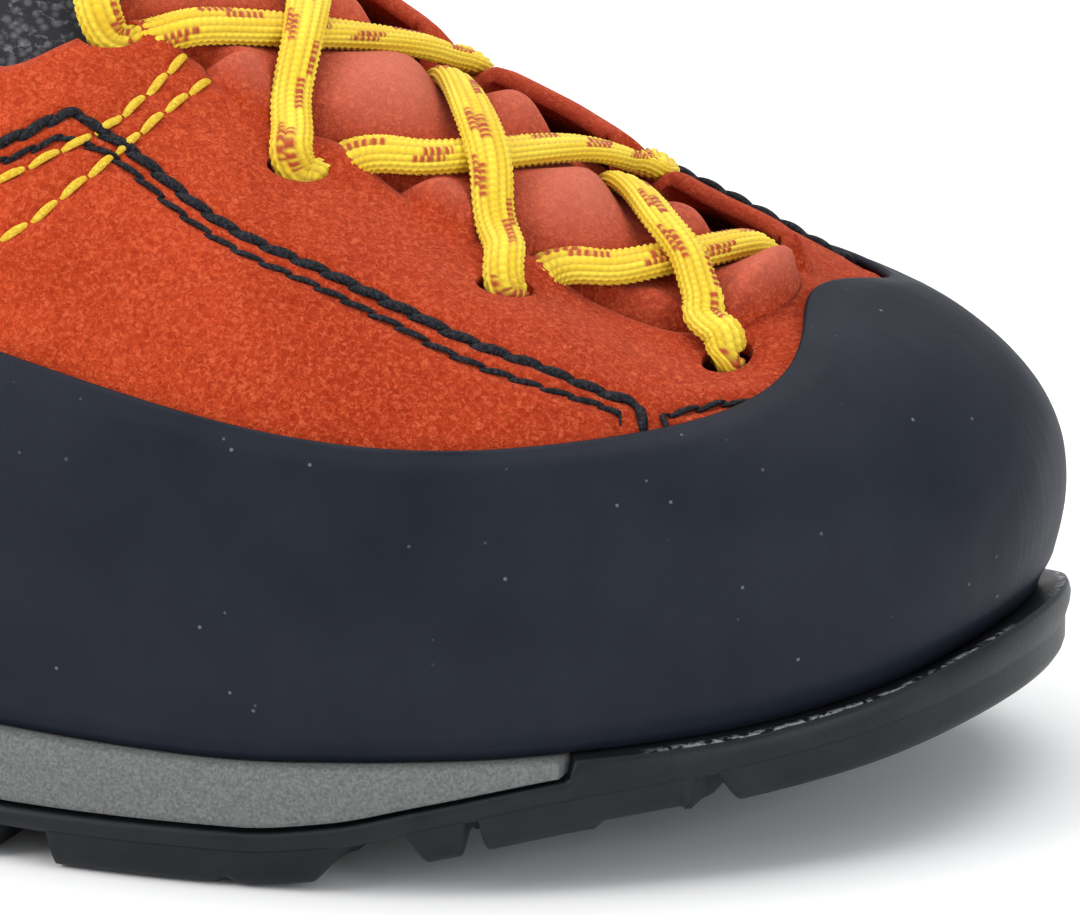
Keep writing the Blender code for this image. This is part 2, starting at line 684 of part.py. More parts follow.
# Tongue
def tongue_surface(rows, depth):
    """Grid across the throat: under one edge, over the instep and under the other edge."""
    heights = [suede_height(rows, share) for share in SUEDE_ROWS[1:]] + [np.ones_like(rows)]
    lateral = [offset_last(rows, t, np.full_like(t, -depth)) for t in heights]
    medial = [offset_last(RING - rows, t, np.full_like(t, -depth)) for t in heights[::-1]]
    start, end = lateral[-1], medial[0]
    width = np.linalg.norm(end - start, axis=-1)[:, None]
    middle = []
    for share in (0.17, 0.34, 0.5, 0.66, 0.83):
        crown = TONGUE_CROWN * width * 4.0 * share * (1.0 - share)
        middle.append(start + (end - start) * share + crown * UPWARD)
    return np.stack(lateral + middle + medial, 1)


def free_end(top, bottom, share):
    """Row of the tongue's end that stands free over the ankle and draws in a little."""
    middle = 0.5 * (top[0] + top[-1])
    reach = FREE_END_LEAN * TONGUE_FREE_LENGTH * share
    narrow = np.array([1.0, 1.0 - TONGUE_TAPER * share ** 0.35, 1.0])
    return middle + (top - middle) * narrow + reach, middle + (bottom - middle) * narrow + reach


def make_tongue(parts, materials):
    side = side_columns()
    rows = side[(side > 0.9) & (side < STATION_ROWS[-1] + 0.3)]
    depth = UPPER_WALL + FIT_GAP
    top = tongue_surface(rows, depth)
    bottom = tongue_surface(rows, depth + 0.3 * TONGUE_THICKNESS)
    sink = np.full(top.shape[1], 0.7 * TONGUE_THICKNESS)
    sink[:4] = sink[-4:] = 0.0
    bottom[..., 2] -= sink[None, :]
    tuck = np.array([0.74, 0.0, -0.67]) * TONGUE_TUCK
    top = np.concatenate([(top[0] + tuck)[None], top], 0)
    bottom = np.concatenate([(bottom[0] + tuck)[None], bottom], 0)
    ends = [free_end(top[-1], bottom[-1], share) for share in (0.35, 0.70, 1.0)]
    top = np.concatenate([top] + [pair[0][None] for pair in ends], 0)
    bottom = np.concatenate([bottom] + [pair[1][None] for pair in ends], 0)
    return layered("tongue", [top, bottom], parts, materials["suede_red"])


# Laces
def smooth_path(points, count):
    """Evenly shared points on a smooth curve through the given ones."""
    points = np.array(points)
    marks = np.concatenate([[0.0], np.cumsum(np.linalg.norm(np.diff(points, axis=0), axis=1))])
    slopes = np.gradient(points, marks, axis=0)
    places = np.linspace(0.0, marks[-1], count)
    start = np.clip(np.searchsorted(marks, places) - 1, 0, len(marks) - 2)
    span = (marks[start + 1] - marks[start])[:, None]
    u = (places - marks[start])[:, None] / span
    keep = (1.0 + 2.0 * u) * (1.0 - u) ** 2 * points[start] + u * (1.0 - u) ** 2 * span * slopes[start]
    reach = u * u * (3.0 - 2.0 * u) * points[start + 1]
    return keep + reach + u * u * (u - 1.0) * span * slopes[start + 1]


def over_edge(q, t, lift):
    return last(q, t) + last_normal(q, t) * lift


def lace_path(near, far, near_slot, far_slot, slot_height, rise):
    """Centre line of a lace low over the throat, from edge to edge and on to a slot at one side."""
    near, far = np.array(near), np.array(far)
    lift = 0.5 * LACE_THICKNESS + LACE_CLEARANCE
    near_edge = over_edge(near, np.array(1.0), lift)
    far_edge = over_edge(far, np.array(1.0), lift)
    width = np.linalg.norm(far_edge - near_edge)
    crown = TONGUE_CROWN * width + 0.5 * LACE_THICKNESS + rise
    points = [near_edge, near_edge * 0.5 + far_edge * 0.5 + UPWARD * crown, far_edge]
    if near_slot is not None:
        points.insert(0, over_edge(np.array(near_slot), np.array(slot_height), lift))
    if far_slot is not None:
        points.append(over_edge(np.array(far_slot), np.array(slot_height), lift))
    return smooth_path(points, 11)


def lace_tube(centre):
    """Flat tube along a centre line, its flat side to the foot."""
    run = np.gradient(centre, axis=0)
    run = run / np.linalg.norm(run, axis=-1, keepdims=True)
    ends = np.linspace(-1.0, 1.0, len(centre))[:, None]
    up = UPWARD + ends * np.array([0.0, 0.9, 0.0])
    side = np.cross(run, up)
    side = side / np.linalg.norm(side, axis=-1, keepdims=True)
    up = np.cross(side, run)
    turns = np.linspace(0.0, 2.0 * math.pi, 8, endpoint=False)
    rings = [centre + side * (0.5 * LACE_WIDTH * math.cos(turn))
             + up * (0.5 * LACE_THICKNESS * math.sin(turn)) for turn in turns]
    return np.stack(rings, 1)


def tube_item(grid, name, collection, material):
    rows, cols = grid.shape[:2]
    faces = grid_faces(rows, cols, 0, True, False)
    faces.append(tuple(range(cols)))
    faces.append(tuple((rows - 1) * cols + col for col in range(cols)))
    bm = bmesh.new()
    add_faces(bm, grid.reshape(-1, 3), faces)
    return finish_mesh(bm, name, collection, material)


def make_laces(parts, cutters, materials):
    """A crossing for each pair of stations: one lace over the other, joined where they meet."""
    step = LACE_STEP / SHOE_LENGTH * LAST_ROW
    for number, (front, back) in enumerate(zip(STATION_ROWS[:-1], STATION_ROWS[1:])):
        slot = slot_row(number)
        height = SLOTS[number][1]
        over = lace_path(front, RING - back + step, slot, None, height, LACE_OVERLAP * LACE_THICKNESS)
        under = lace_path(back - step, RING - front, None, RING - slot, height, 0.0)
        name = "lace_crossing_%d" % (number + 1)
        bar = tube_item(lace_tube(over), name, parts, materials["lace_yellow"])
        tool = tube_item(lace_tube(under), name + "_under", cutters, None)
        cut_or_join(bar, tool, "UNION")


def stand_on_origin(parts, cutters):
    """Moves the whole shoe so that the middle of its footprint is the origin."""
    graph = bpy.context.evaluated_depsgraph_get()
    corners = np.array([list(corner) for item in parts.objects
                        for corner in item.evaluated_get(graph).bound_box])
    middle = 0.5 * (corners.min(0) + corners.max(0))
    for item in list(parts.objects) + list(cutters.objects):
        item.location = (-middle[0], -middle[1], -corners.min(0)[2])


def main():
    fresh_scene()
    parts = new_collection("approach_shoe")
    cutters = new_collection("cutters")
    materials = make_materials()
    make_outsole(parts, cutters, materials)
    make_midsole(parts, materials)
    make_insole(parts, materials)
    make_upper(parts, cutters, materials)
    make_rand(parts, materials)
    make_tongue(parts, materials)
    make_collar_pad(parts, materials)
    make_laces(parts, cutters, materials)
    stand_on_origin(parts, cutters)


main()
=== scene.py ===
"""Looks of an approach shoe for the right foot, built round its solid model.

+X points to the toe, -Y to the little toe and +Z up; everything is in metres.
"""

import math

import bmesh
import bpy
import numpy as np
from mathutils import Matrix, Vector, kdtree


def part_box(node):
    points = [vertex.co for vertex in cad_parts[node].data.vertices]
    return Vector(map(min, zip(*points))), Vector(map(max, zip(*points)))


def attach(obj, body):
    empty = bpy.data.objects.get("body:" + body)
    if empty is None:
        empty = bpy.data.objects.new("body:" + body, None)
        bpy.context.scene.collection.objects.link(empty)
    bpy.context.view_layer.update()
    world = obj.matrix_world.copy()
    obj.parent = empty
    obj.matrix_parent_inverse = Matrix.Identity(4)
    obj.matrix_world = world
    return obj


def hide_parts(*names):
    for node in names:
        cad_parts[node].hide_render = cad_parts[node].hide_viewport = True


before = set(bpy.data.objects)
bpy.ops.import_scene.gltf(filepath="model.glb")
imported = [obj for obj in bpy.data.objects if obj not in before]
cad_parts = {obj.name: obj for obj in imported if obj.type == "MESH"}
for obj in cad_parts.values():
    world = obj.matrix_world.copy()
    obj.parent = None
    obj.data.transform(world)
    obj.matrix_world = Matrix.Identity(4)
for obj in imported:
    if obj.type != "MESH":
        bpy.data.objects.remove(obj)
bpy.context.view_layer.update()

# Sizes of the solid model that the surfaces repeat
SHOE_LENGTH = 0.292
BALL_WIDTH = 0.1075
INSTEP_HEIGHT = 0.109
HEEL_HEIGHT = 0.097
MEDIAL_LIFT = 0.0026
FOREFOOT_STACK = 0.015
HEEL_RISE = 0.013
UPPER_TOE_SPRING = 0.0085
SOLE_TOE_SPRING = 0.0140
ARCH_RISE = 0.0065
HEEL_BEVEL = 0.0050
OUTSOLE_DEPTH = 0.0068
LUG_DEPTH = 0.0040
LUG_BAND = 0.0150
STUD_LENGTH = 0.0110
STUD_WIDTH = 0.0090
UPPER_WALL = 0.0020
RAND_WALL = 0.0017
WELT = 0.0030
TOE_FLANGE = 0.0020
FIT_GAP = 0.0003
INSOLE_THICKNESS = 0.0040
INSOLE_PLAY = 0.0015
INSOLE_CUP = 0.0012
COLLAR_PAD = 0.0055
COLLAR_ROLL = 0.0030
TONGUE_THICKNESS = 0.0050
TONGUE_FREE_LENGTH = 0.0240
TONGUE_END_ARCH = 0.0050
SCALLOP_DEPTH = 0.026
NOTCH_DEPTH = 0.200
LACE_WIDTH = 0.0049
LACE_THICKNESS = 0.0026
LACE_STEP = 0.00026

# Outline and throat, a row for each section from the toe to the heel
SECTIONS = (
    # along_lat, y_lat, along_med, y_med, edge_along, edge_y_lat, edge_y_med, edge_instep,
    # edge_heel, lift, fullness, end_angle, bulge_mm, flange
    (0.500, 0.130, 0.500, 0.130, 0.3990, 0.084, 0.084, 0.522, 0.000, 0.0, 2.60, 68.0, 4.4, 1.0),
    (0.490, -0.023, 0.491, 0.270, 0.3940, 0.023, 0.144, 0.517, 0.000, 0.5, 2.60, 68.0, 4.4, 0.9),
    (0.461, -0.158, 0.466, 0.363, 0.3767, -0.023, 0.181, 0.517, 0.000, 0.9, 2.65, 68.0, 4.3, 0.6),
    (0.414, -0.288, 0.423, 0.428, 0.3390, -0.056, 0.195, 0.547, 0.000, 1.0, 2.65, 70.0, 3.7, 0.3),
    (0.349, -0.405, 0.356, 0.470, 0.2842, -0.088, 0.195, 0.624, 0.000, 0.5, 2.50, 72.0, 3.0, 0.0),
    (0.267, -0.479, 0.274, 0.488, 0.2192, -0.116, 0.191, 0.711, 0.000, 0.1, 2.40, 66.0, 3.0, 0.0),
    (0.175, -0.512, 0.188, 0.465, 0.1473, -0.140, 0.191, 0.821, 0.000, 0.0, 2.30, 60.0, 3.0, 0.0),
    (0.075, -0.488, 0.092, 0.400, 0.0651, -0.158, 0.195, 0.927, 0.000, 0.0, 2.20, 56.0, 2.5, 0.0),
    (-0.027, -0.423, -0.014, 0.321, -0.0205, -0.186, 0.219, 1.000, 0.000, 0.0, 2.10, 50.0, 2.0, 0.0),
    (-0.137, -0.363, -0.130, 0.279, -0.1233, -0.265, 0.270, 0.459, 0.515, 0.4, 2.00, 45.0, 1.5, 0.0),
    (-0.257, -0.335, -0.257, 0.298, -0.2329, -0.307, 0.298, 0.000, 0.876, 0.4, 2.00, 45.0, 2.0, 0.0),
    (-0.363, -0.330, -0.363, 0.321, -0.3356, -0.298, 0.293, 0.000, 0.845, 0.4, 2.00, 45.0, 2.5, 0.0),
    (-0.442, -0.274, -0.442, 0.274, -0.4247, -0.233, 0.233, 0.000, 0.918, 0.0, 2.00, 45.0, 2.2, 0.0),
    (-0.488, -0.158, -0.488, 0.158, -0.4692, -0.126, 0.126, 0.000, 0.979, 0.0, 2.00, 45.0, 2.4, 0.0),
    (-0.500, 0.000, -0.500, 0.000, -0.4811, 0.000, 0.000, 0.000, 1.000, 0.0, 2.00, 45.0, 2.4, 0.0),
)
PROFILE = (
    # along, heel, upper_toe, sole_toe, arch, bevel
    (-0.500, 1.00, 0.00, 0.00, 0.00, 1.00),
    (-0.473, 0.99, 0.00, 0.00, 0.00, 0.40),
    (-0.438, 0.98, 0.00, 0.00, 0.00, 0.00),
    (-0.377, 0.96, 0.00, 0.00, 0.00, 0.00),
    (-0.240, 0.85, 0.00, 0.00, 0.00, 0.00),
    (-0.154, 0.72, 0.00, 0.00, 0.65, 0.00),
    (-0.068, 0.54, 0.00, 0.00, 1.00, 0.00),
    (0.017, 0.30, 0.00, 0.00, 0.70, 0.00),
    (0.096, 0.14, 0.00, 0.00, 0.12, 0.00),
    (0.171, 0.06, 0.00, 0.00, 0.00, 0.00),
    (0.260, 0.00, 0.00, 0.00, 0.00, 0.00),
    (0.294, 0.00, 0.04, 0.08, 0.00, 0.00),
    (0.329, 0.00, 0.10, 0.26, 0.00, 0.00),
    (0.377, 0.00, 0.18, 0.49, 0.00, 0.00),
    (0.425, 0.00, 0.28, 0.64, 0.00, 0.00),
    (0.466, 0.00, 0.53, 0.79, 0.00, 0.00),
    (0.500, 0.00, 1.00, 1.00, 0.00, 0.00),
)
RAND_TOP_LATERAL = (0.968, 0.884, 0.750, 0.603, 0.470, 0.436, 0.439, 0.436, 0.405, 0.36, 0.33,
                    0.32, 0.33, 0.35, 0.36)
RAND_TOP_MEDIAL = (0.968, 0.940, 0.780, 0.640, 0.520, 0.460, 0.440, 0.410, 0.380, 0.35, 0.33,
                   0.32, 0.33, 0.35, 0.36)
STATIONS = (0.388, 0.319, 0.240, 0.163, 0.046, -0.008)
NOTCH_BEHIND_STATION = 3
EDGE_LUGS = (
    # front, back, slope of the front end in mm, slope of the back end in mm
    (0.346, 0.319, 1.4, 3.2),
    (0.304, 0.180, 5.0, 1.6),
    (0.164, 0.120, 2.6, 2.0),
    (0.104, 0.060, 2.2, 2.2),
    (0.044, 0.006, 2.2, 2.2),
    (-0.215, -0.262, 2.0, 2.0),
    (-0.278, -0.330, 2.0, 2.0),
    (-0.346, -0.398, 2.0, 2.0),
    (-0.412, -0.455, 2.0, 2.0),
)
STUDS = (
    (0.300, -0.16), (0.300, 0.04), (0.300, 0.24),
    (0.235, -0.22), (0.235, -0.02), (0.235, 0.18),
    (0.170, -0.20), (0.170, 0.00), (0.170, 0.18),
    (0.105, -0.18), (0.105, 0.04),
    (-0.250, -0.08), (-0.250, 0.08),
    (-0.315, -0.08), (-0.315, 0.08),
    (-0.380, -0.08), (-0.380, 0.08),
)
CLIMBING_ZONE_BACK = 0.347
MIDSOLE_FRONT = 0.3765
LAST_ROW = len(SECTIONS) - 1
RING = 2 * LAST_ROW
UPWARD = np.array([0.35, 0.0, 0.94])
FREE_END_LEAN = np.array([-0.58, 0.0, 0.81])


# The last: closed curves round the shoe, from the toe down the little-toe side to the heel and back
def ring_values(lateral, medial):
    return np.concatenate([lateral, medial[-2:0:-1]])


def cubic(u, start, end, lean_start, lean_end):
    """Cubic from one value to the next as u runs from 0 to 1, with its slopes at both ends."""
    rise = end - start
    square = (3.0 * rise - 2.0 * lean_start - lean_end) * u ** 2
    return start + lean_start * u + square + (lean_start + lean_end - 2.0 * rise) * u ** 3


def closed_curve(values):
    """Smooth closed curve through equally spaced values; the parameter is the row number."""
    count = len(values)
    system = 4.0 * np.eye(count) + np.roll(np.eye(count), 1, 0) + np.roll(np.eye(count), -1, 0)
    slopes = np.linalg.solve(system, 3.0 * (np.roll(values, -1) - np.roll(values, 1)))

    def read(q):
        q = np.mod(np.asarray(q, float), count)
        start = np.floor(q).astype(int) % count
        end = (start + 1) % count
        return cubic(q - np.floor(q), values[start], values[end], slopes[start], slopes[end])

    return read


def open_curve(along, values):
    """Smooth open curve that never overshoots its values; it reads a value at a place."""
    along = np.asarray(along, float)
    values = np.asarray(values, float)
    steps = np.diff(values) / np.diff(along)
    product = steps[1:] * steps[:-1]
    total = np.where(np.abs(steps[1:] + steps[:-1]) > 0.0, steps[1:] + steps[:-1], 1.0)
    inner = np.where(product > 0.0, 2.0 * product / total, 0.0)
    slopes = np.concatenate([steps[:1], inner, steps[-1:]])

    def read(x):
        x = np.clip(x, along[0], along[-1])
        start = np.clip(np.searchsorted(along, x) - 1, 0, len(along) - 2)
        span = along[start + 1] - along[start]
        return cubic((x - along[start]) / span, values[start], values[start + 1], span * slopes[start],
                     span * slopes[start + 1])

    return read


def columns(table):
    return [np.array(column, float) for column in zip(*table)]


(ALONG_LAT, Y_LAT, ALONG_MED, Y_MED, EDGE_ALONG, EDGE_Y_LAT, EDGE_Y_MED, EDGE_INSTEP, EDGE_HEEL,
 LIFT, FULLNESS, END_ANGLE, BULGE, FLANGE) = columns(SECTIONS)
EDGE_Z = EDGE_INSTEP * INSTEP_HEIGHT + EDGE_HEEL * HEEL_HEIGHT

outline_x = closed_curve(ring_values(ALONG_LAT, ALONG_MED) * SHOE_LENGTH)
outline_y = closed_curve(ring_values(Y_LAT, Y_MED) * BALL_WIDTH)
edge_x = closed_curve(ring_values(EDGE_ALONG, EDGE_ALONG) * SHOE_LENGTH)
edge_y = closed_curve(ring_values(EDGE_Y_LAT, EDGE_Y_MED) * BALL_WIDTH)
edge_z = closed_curve(ring_values(EDGE_Z, EDGE_Z + LIFT * MEDIAL_LIFT))
fullness = closed_curve(ring_values(FULLNESS, FULLNESS))
end_angle = closed_curve(ring_values(END_ANGLE, END_ANGLE))
bulge = closed_curve(ring_values(BULGE, BULGE) * 0.001)
flange = closed_curve(ring_values(FLANGE, FLANGE) * TOE_FLANGE)
rand_top = closed_curve(ring_values(np.array(RAND_TOP_LATERAL), np.array(RAND_TOP_MEDIAL)))

SIDE_ALONG, SIDE_HEEL, SIDE_UPPER_TOE, SIDE_SOLE_TOE, SIDE_ARCH, SIDE_BEVEL = columns(PROFILE)
feather_z = open_curve(SIDE_ALONG * SHOE_LENGTH,
                       FOREFOOT_STACK + SIDE_HEEL * HEEL_RISE + SIDE_UPPER_TOE * UPPER_TOE_SPRING)
ground_z = open_curve(SIDE_ALONG * SHOE_LENGTH,
                      SIDE_SOLE_TOE * SOLE_TOE_SPRING + SIDE_ARCH * ARCH_RISE
                      + SIDE_BEVEL * HEEL_BEVEL)


def outward(q):
    """Unit vector out of the outline in plan."""
    step = 1e-3
    run_x = outline_x(q + step) - outline_x(q - step)
    run_y = outline_y(q + step) - outline_y(q - step)
    size = np.hypot(run_x, run_y)
    return run_y / size * -1.0, run_x / size


def outline(q, inset):
    """Point of the sole's outline in plan, moved in by an inset."""
    out_x, out_y = outward(q)
    return outline_x(q) - inset * out_x, outline_y(q) - inset * out_y


def last(q, t):
    """Point on the outside of the upper: q runs round the shoe, t from the feather to the edge."""
    q, t = np.broadcast_arrays(np.asarray(q, float), np.asarray(t, float))
    low_x, low_y = outline(q, WELT + flange(q))
    low_z = feather_z(low_x)
    power = 2.0 / fullness(q)
    end = np.radians(end_angle(q))
    angle = t * end
    across = (1.0 - np.cos(angle) ** power) / (1.0 - np.cos(end) ** power)
    up = (np.sin(angle) / np.sin(end)) ** power
    out_x, out_y = outward(q)
    swell = bulge(q) * np.sin(np.pi * t ** 0.75) ** 1.2
    x = low_x + (edge_x(q) - low_x) * across + out_x * swell
    y = low_y + (edge_y(q) - low_y) * across + out_y * swell
    z = low_z + (edge_z(q) - low_z) * up
    return np.stack([x, y, z], -1)


def unit(vectors):
    return vectors / np.linalg.norm(vectors, axis=-1, keepdims=True)


def last_normal(q, t):
    step = 2e-3
    low = np.clip(t - step, 0.001, 1.0)
    high = np.clip(t + step, 0.001, 1.0)
    around = last(q + step, np.clip(t, 0.001, 1.0)) - last(q - step, np.clip(t, 0.001, 1.0))
    rise = last(q, high) - last(q, low)
    return unit(np.cross(rise, around))


def offset_last(q, t, offset):
    """Point at a distance from the upper's outside; at the feather it stays level."""
    normal = last_normal(q, t)
    flat = np.clip(1.0 - np.asarray(t) / 0.06, 0.0, 1.0)[..., None]
    level = unit(normal * np.array([1.0, 1.0, 0.0]))
    normal = normal * (1.0 - flat) + level * flat
    base = last(q, t)
    moved = base + normal * np.asarray(offset)[..., None]
    moved[..., 2] += flat[..., 0] * (feather_z(moved[..., 0]) - feather_z(base[..., 0]))
    return moved


def side_row(x, medial):
    """Row number at which one side's outline is at x."""
    rows = np.linspace(0.0, LAST_ROW, 561)
    places = outline_x(RING - rows if medial else rows)
    q = np.interp(-x, -places, rows)
    return RING - q if medial else q


def edge_row(x):
    """Row number at which the throat edge on the little-toe side is at x."""
    rows = np.linspace(0.0, LAST_ROW, 561)
    return float(np.interp(-x, -np.minimum.accumulate(edge_x(rows)), rows))


STATION_ROWS = [edge_row(share * SHOE_LENGTH) for share in STATIONS]


def fold(q):
    """Row number counted from the toe on either side."""
    q = np.mod(np.asarray(q, float), RING)
    return np.minimum(q, RING - q)


def on_medial(q):
    return np.mod(np.asarray(q, float), RING) > LAST_ROW


def smooth(value):
    value = np.clip(value, 0.0, 1.0)
    return value * value * (3.0 - 2.0 * value)


def edge_height(q):
    """How far up the last the upper reaches: scallops between stations and the flex notch."""
    row = fold(q)
    height = np.ones_like(row)
    for number, (front, back) in enumerate(zip(STATION_ROWS[:-1], STATION_ROWS[1:])):
        share = np.clip((row - front) / (back - front), 0.0, 1.0)
        depth = NOTCH_DEPTH if number == NOTCH_BEHIND_STATION else SCALLOP_DEPTH
        height = height - depth * np.sin(np.pi * share) ** 2
    return height


def suede_height(q, share):
    """How far up the last a share of the way from the rand's top to the suede's edge lies."""
    return rand_top(q) + (edge_height(q) - rand_top(q)) * share


def find_origin():
    """Where the solid model's frame puts the middle of the last."""
    low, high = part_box("outsole")
    rows = np.linspace(0.0, RING, 2000)
    y = outline_y(rows)
    return np.array([low.x + 0.5 * SHOE_LENGTH, 0.5 * (low.y + high.y) - 0.5 * (y.min() + y.max()), 0.0])


ORIGIN = find_origin()


# Meshes
def grid_quads(rows, cols, wrap_rows, wrap_cols):
    row, col = np.meshgrid(np.arange(rows if wrap_rows else rows - 1),
                           np.arange(cols if wrap_cols else cols - 1), indexing="ij")
    row_after, col_after = (row + 1) % rows, (col + 1) % cols
    return np.stack([row * cols + col, row * cols + col_after,
                     row_after * cols + col_after, row_after * cols + col], -1).reshape(-1, 4)


def grid_corners(u, v):
    """Texture place of each face corner of a closed grid; u and v hold one value more than it has."""
    row, col = np.meshgrid(np.arange(len(v) - 1), np.arange(len(u) - 1), indexing="ij")
    corners = [(u[col], v[row]), (u[col + 1], v[row]), (u[col + 1], v[row + 1]), (u[col], v[row + 1])]
    return np.stack([np.stack(pair, -1) for pair in corners], 2).reshape(-1, 2)


def make_mesh(name, points, quads, materials, texture=None, tones=None, values=None):
    """Object of quads in the last's frame, smooth, with its texture places and its colours."""
    mesh = bpy.data.meshes.new(name)
    mesh.vertices.add(len(points))
    mesh.vertices.foreach_set("co", (points + ORIGIN).astype(np.float32).ravel())
    mesh.loops.add(quads.size)
    mesh.loops.foreach_set("vertex_index", quads.astype(np.int32).ravel())
    mesh.polygons.add(len(quads))
    mesh.polygons.foreach_set("loop_start", np.arange(0, quads.size, 4, dtype=np.int32))
    mesh.update(calc_edges=True)
    mesh.validate()
    mesh.shade_smooth()
    if texture is not None:
        layer = mesh.uv_layers.new(name="place")
        layer.data.foreach_set("uv", texture.astype(np.float32).ravel())
    if tones is not None:
        layer = mesh.color_attributes.new(name="tone", type="FLOAT_COLOR", domain="POINT")
        full = np.concatenate([tones, np.ones((len(tones), 1))], 1)
        layer.data.foreach_set("color", full.astype(np.float32).ravel())
    for key, value in (values or {}).items():
        layer = mesh.attributes.new(name=key, type="FLOAT", domain="POINT")
        layer.data.foreach_set("value", value.astype(np.float32).ravel())
    item = bpy.data.objects.new(name, mesh)
    bpy.context.scene.collection.objects.link(item)
    for material in materials:
        mesh.materials.append(material)
    return item


def finish_piece(item, slot, *nodes):
    """Puts a piece on the shoe's body and hides the solids it stands for; its slot is not used."""
    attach(item, "root")
    if nodes:
        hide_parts(*nodes)
    return item


def applied(item):
    """Gives an object the mesh that its modifiers make."""
    graph = bpy.context.evaluated_depsgraph_get()
    mesh = bpy.data.meshes.new_from_object(item.evaluated_get(graph))
    item.modifiers.clear()
    item.data = mesh
    return item


def ring_rows(step_front, step_rear, height=0.5):
    """Row numbers round the shoe from the heel, closer together in front of the instep."""
    q = np.linspace(LAST_ROW, LAST_ROW + RING, 6000)
    points = last(q, height)
    blend = smooth((points[:-1, 0] + 0.035) / 0.035)
    step = step_rear + (step_front - step_rear) * blend
    marks = np.concatenate([[0.0], np.cumsum(np.linalg.norm(np.diff(points, axis=0), axis=1) / step)])
    places = np.linspace(0.0, marks[-1], int(round(marks[-1])) + 1)
    return np.interp(places, marks, q)


def travelled(points, power=1.0):
    """Sum of the steps up to each point of a line, each step raised to a power."""
    steps = np.linalg.norm(np.diff(points, axis=0), axis=1) ** power
    return np.concatenate([[0.0], np.cumsum(steps)])


def resample(points, step):
    """Evenly spaced points on a smooth curve through the given ones."""
    points = np.asarray(points, float)
    marks = travelled(points, 0.5)
    count = len(points)
    gaps = np.diff(marks)
    system = np.zeros((count, count))
    right = np.zeros_like(points)
    system[0, 0] = system[-1, -1] = 1.0
    chords = np.diff(points, axis=0) / gaps[:, None]
    for row in range(1, count - 1):
        system[row, row - 1] = gaps[row]
        system[row, row] = 2.0 * (gaps[row - 1] + gaps[row])
        system[row, row + 1] = gaps[row - 1]
        right[row] = 3.0 * (gaps[row] * chords[row - 1] + gaps[row - 1] * chords[row])
    right[0], right[-1] = chords[0], chords[-1]
    slopes = np.linalg.solve(system, right)
    fine = np.linspace(0.0, marks[-1], 60 * count)
    start = np.clip(np.searchsorted(marks, fine) - 1, 0, count - 2)
    span = gaps[start][:, None]
    dense = cubic((fine - marks[start])[:, None] / span, points[start], points[start + 1],
                  span * slopes[start], span * slopes[start + 1])
    lengths = travelled(dense)
    places = np.linspace(0.0, lengths[-1], max(3, int(round(lengths[-1] / step)) + 1))
    return np.stack([np.interp(places, lengths, dense[:, axis]) for axis in range(3)], 1)


def distance_to(points, lines, reach):
    """Distance from each point to the nearest point of some dense lines, cut off at a reach."""
    targets = np.concatenate(lines)
    tree = kdtree.KDTree(len(targets))
    for index, target in enumerate(targets):
        tree.insert(target, index)
    tree.balance()
    low, high = targets.min(0) - reach, targets.max(0) + reach
    flat = points.reshape(-1, 3)
    found = np.full(len(flat), reach)
    inside = np.where(np.all((flat > low) & (flat < high), axis=1))[0]
    for index in inside:
        found[index] = min(reach, tree.find(flat[index])[2])
    return found.reshape(points.shape[:-1])


def waves(points, scale, seed, octaves=3):
    """Smooth unevenness from crossing waves in random directions, about -1 to 1."""
    random = np.random.default_rng(seed)
    total = np.zeros(points.shape[:-1])
    weight = 0.0
    for octave in range(octaves):
        for _ in range(5):
            direction = unit(random.normal(size=3))
            phase = random.uniform(0.0, 2.0 * math.pi)
            turns = points @ direction * 1.9 ** octave / scale
            total += np.sin(turns * 2.0 * math.pi + phase) * 0.6 ** octave
        weight += 5.0 ** 0.5 * 0.6 ** octave
    return total / weight


# Laces
def throat(row, share, lift):
    """Point over the tongue: share runs from the little-toe edge to the far one."""
    near = last(row, 1.0)
    far = last(RING - row, 1.0)
    width = np.linalg.norm(far - near, axis=-1)[..., None]
    share = np.asarray(share, float)[..., None]
    crown = 0.10 * width * 4.0 * share * (1.0 - share)
    return near + (far - near) * share + UPWARD * (crown + np.asarray(lift, float)[..., None])


def near_side(q, t, lift):
    return last(q, t) + last_normal(q, t) * lift


# A bar runs forward under the other lace, from under the near edge to the far edge.
# A prime runs forward over it, from inside the far edge down into the near hole.
# Each leg lies between two lace stations and is listed by its front one, as rows from the toe,
# shares of the way across and lifts in LACE_LIFT. A share below 0 is that far down the near side.
BARS = (
    ((3.47, -0.035, -2.0), (3.36, 0.0, 0.2), (3.22, 0.04, 1.7), (3.02, 0.10, 2.0), (2.78, 0.24, 2.1),
     (2.50, 0.45, 2.1), (2.28, 0.70, 2.0), (2.15, 0.85, 1.6), (2.10, 0.91, 0.2), (2.12, 0.92, -1.8)),
    ((4.75, -0.035, -2.0), (4.64, 0.0, 0.2), (4.52, 0.035, 1.7), (4.36, 0.09, 2.1), (4.19, 0.20, 2.1),
     (3.95, 0.43, 2.2), (3.76, 0.70, 2.3), (3.62, 0.88, 2.3), (3.54, 0.97, 2.2)),
    ((5.88, -0.035, -2.0), (5.76, 0.0, 0.2), (5.66, 0.05, 1.8), (5.52, 0.15, 2.1), (5.29, 0.33, 2.2),
     (5.02, 0.61, 2.2), (4.86, 0.84, 2.3), (4.79, 0.97, 2.2)),
    ((7.27, -0.030, -2.0), (7.16, 0.02, 1.2), (6.95, 0.16, 2.2), (6.60, 0.42, 2.3), (6.20, 0.74, 2.3),
     (5.96, 0.97, 2.0)),
    ((7.90, -0.030, -2.0), (7.82, 0.03, 1.4), (7.70, 0.20, 2.2), (7.55, 0.50, 2.3), (7.38, 0.80, 2.3),
     (7.30, 0.97, 2.0)),
)
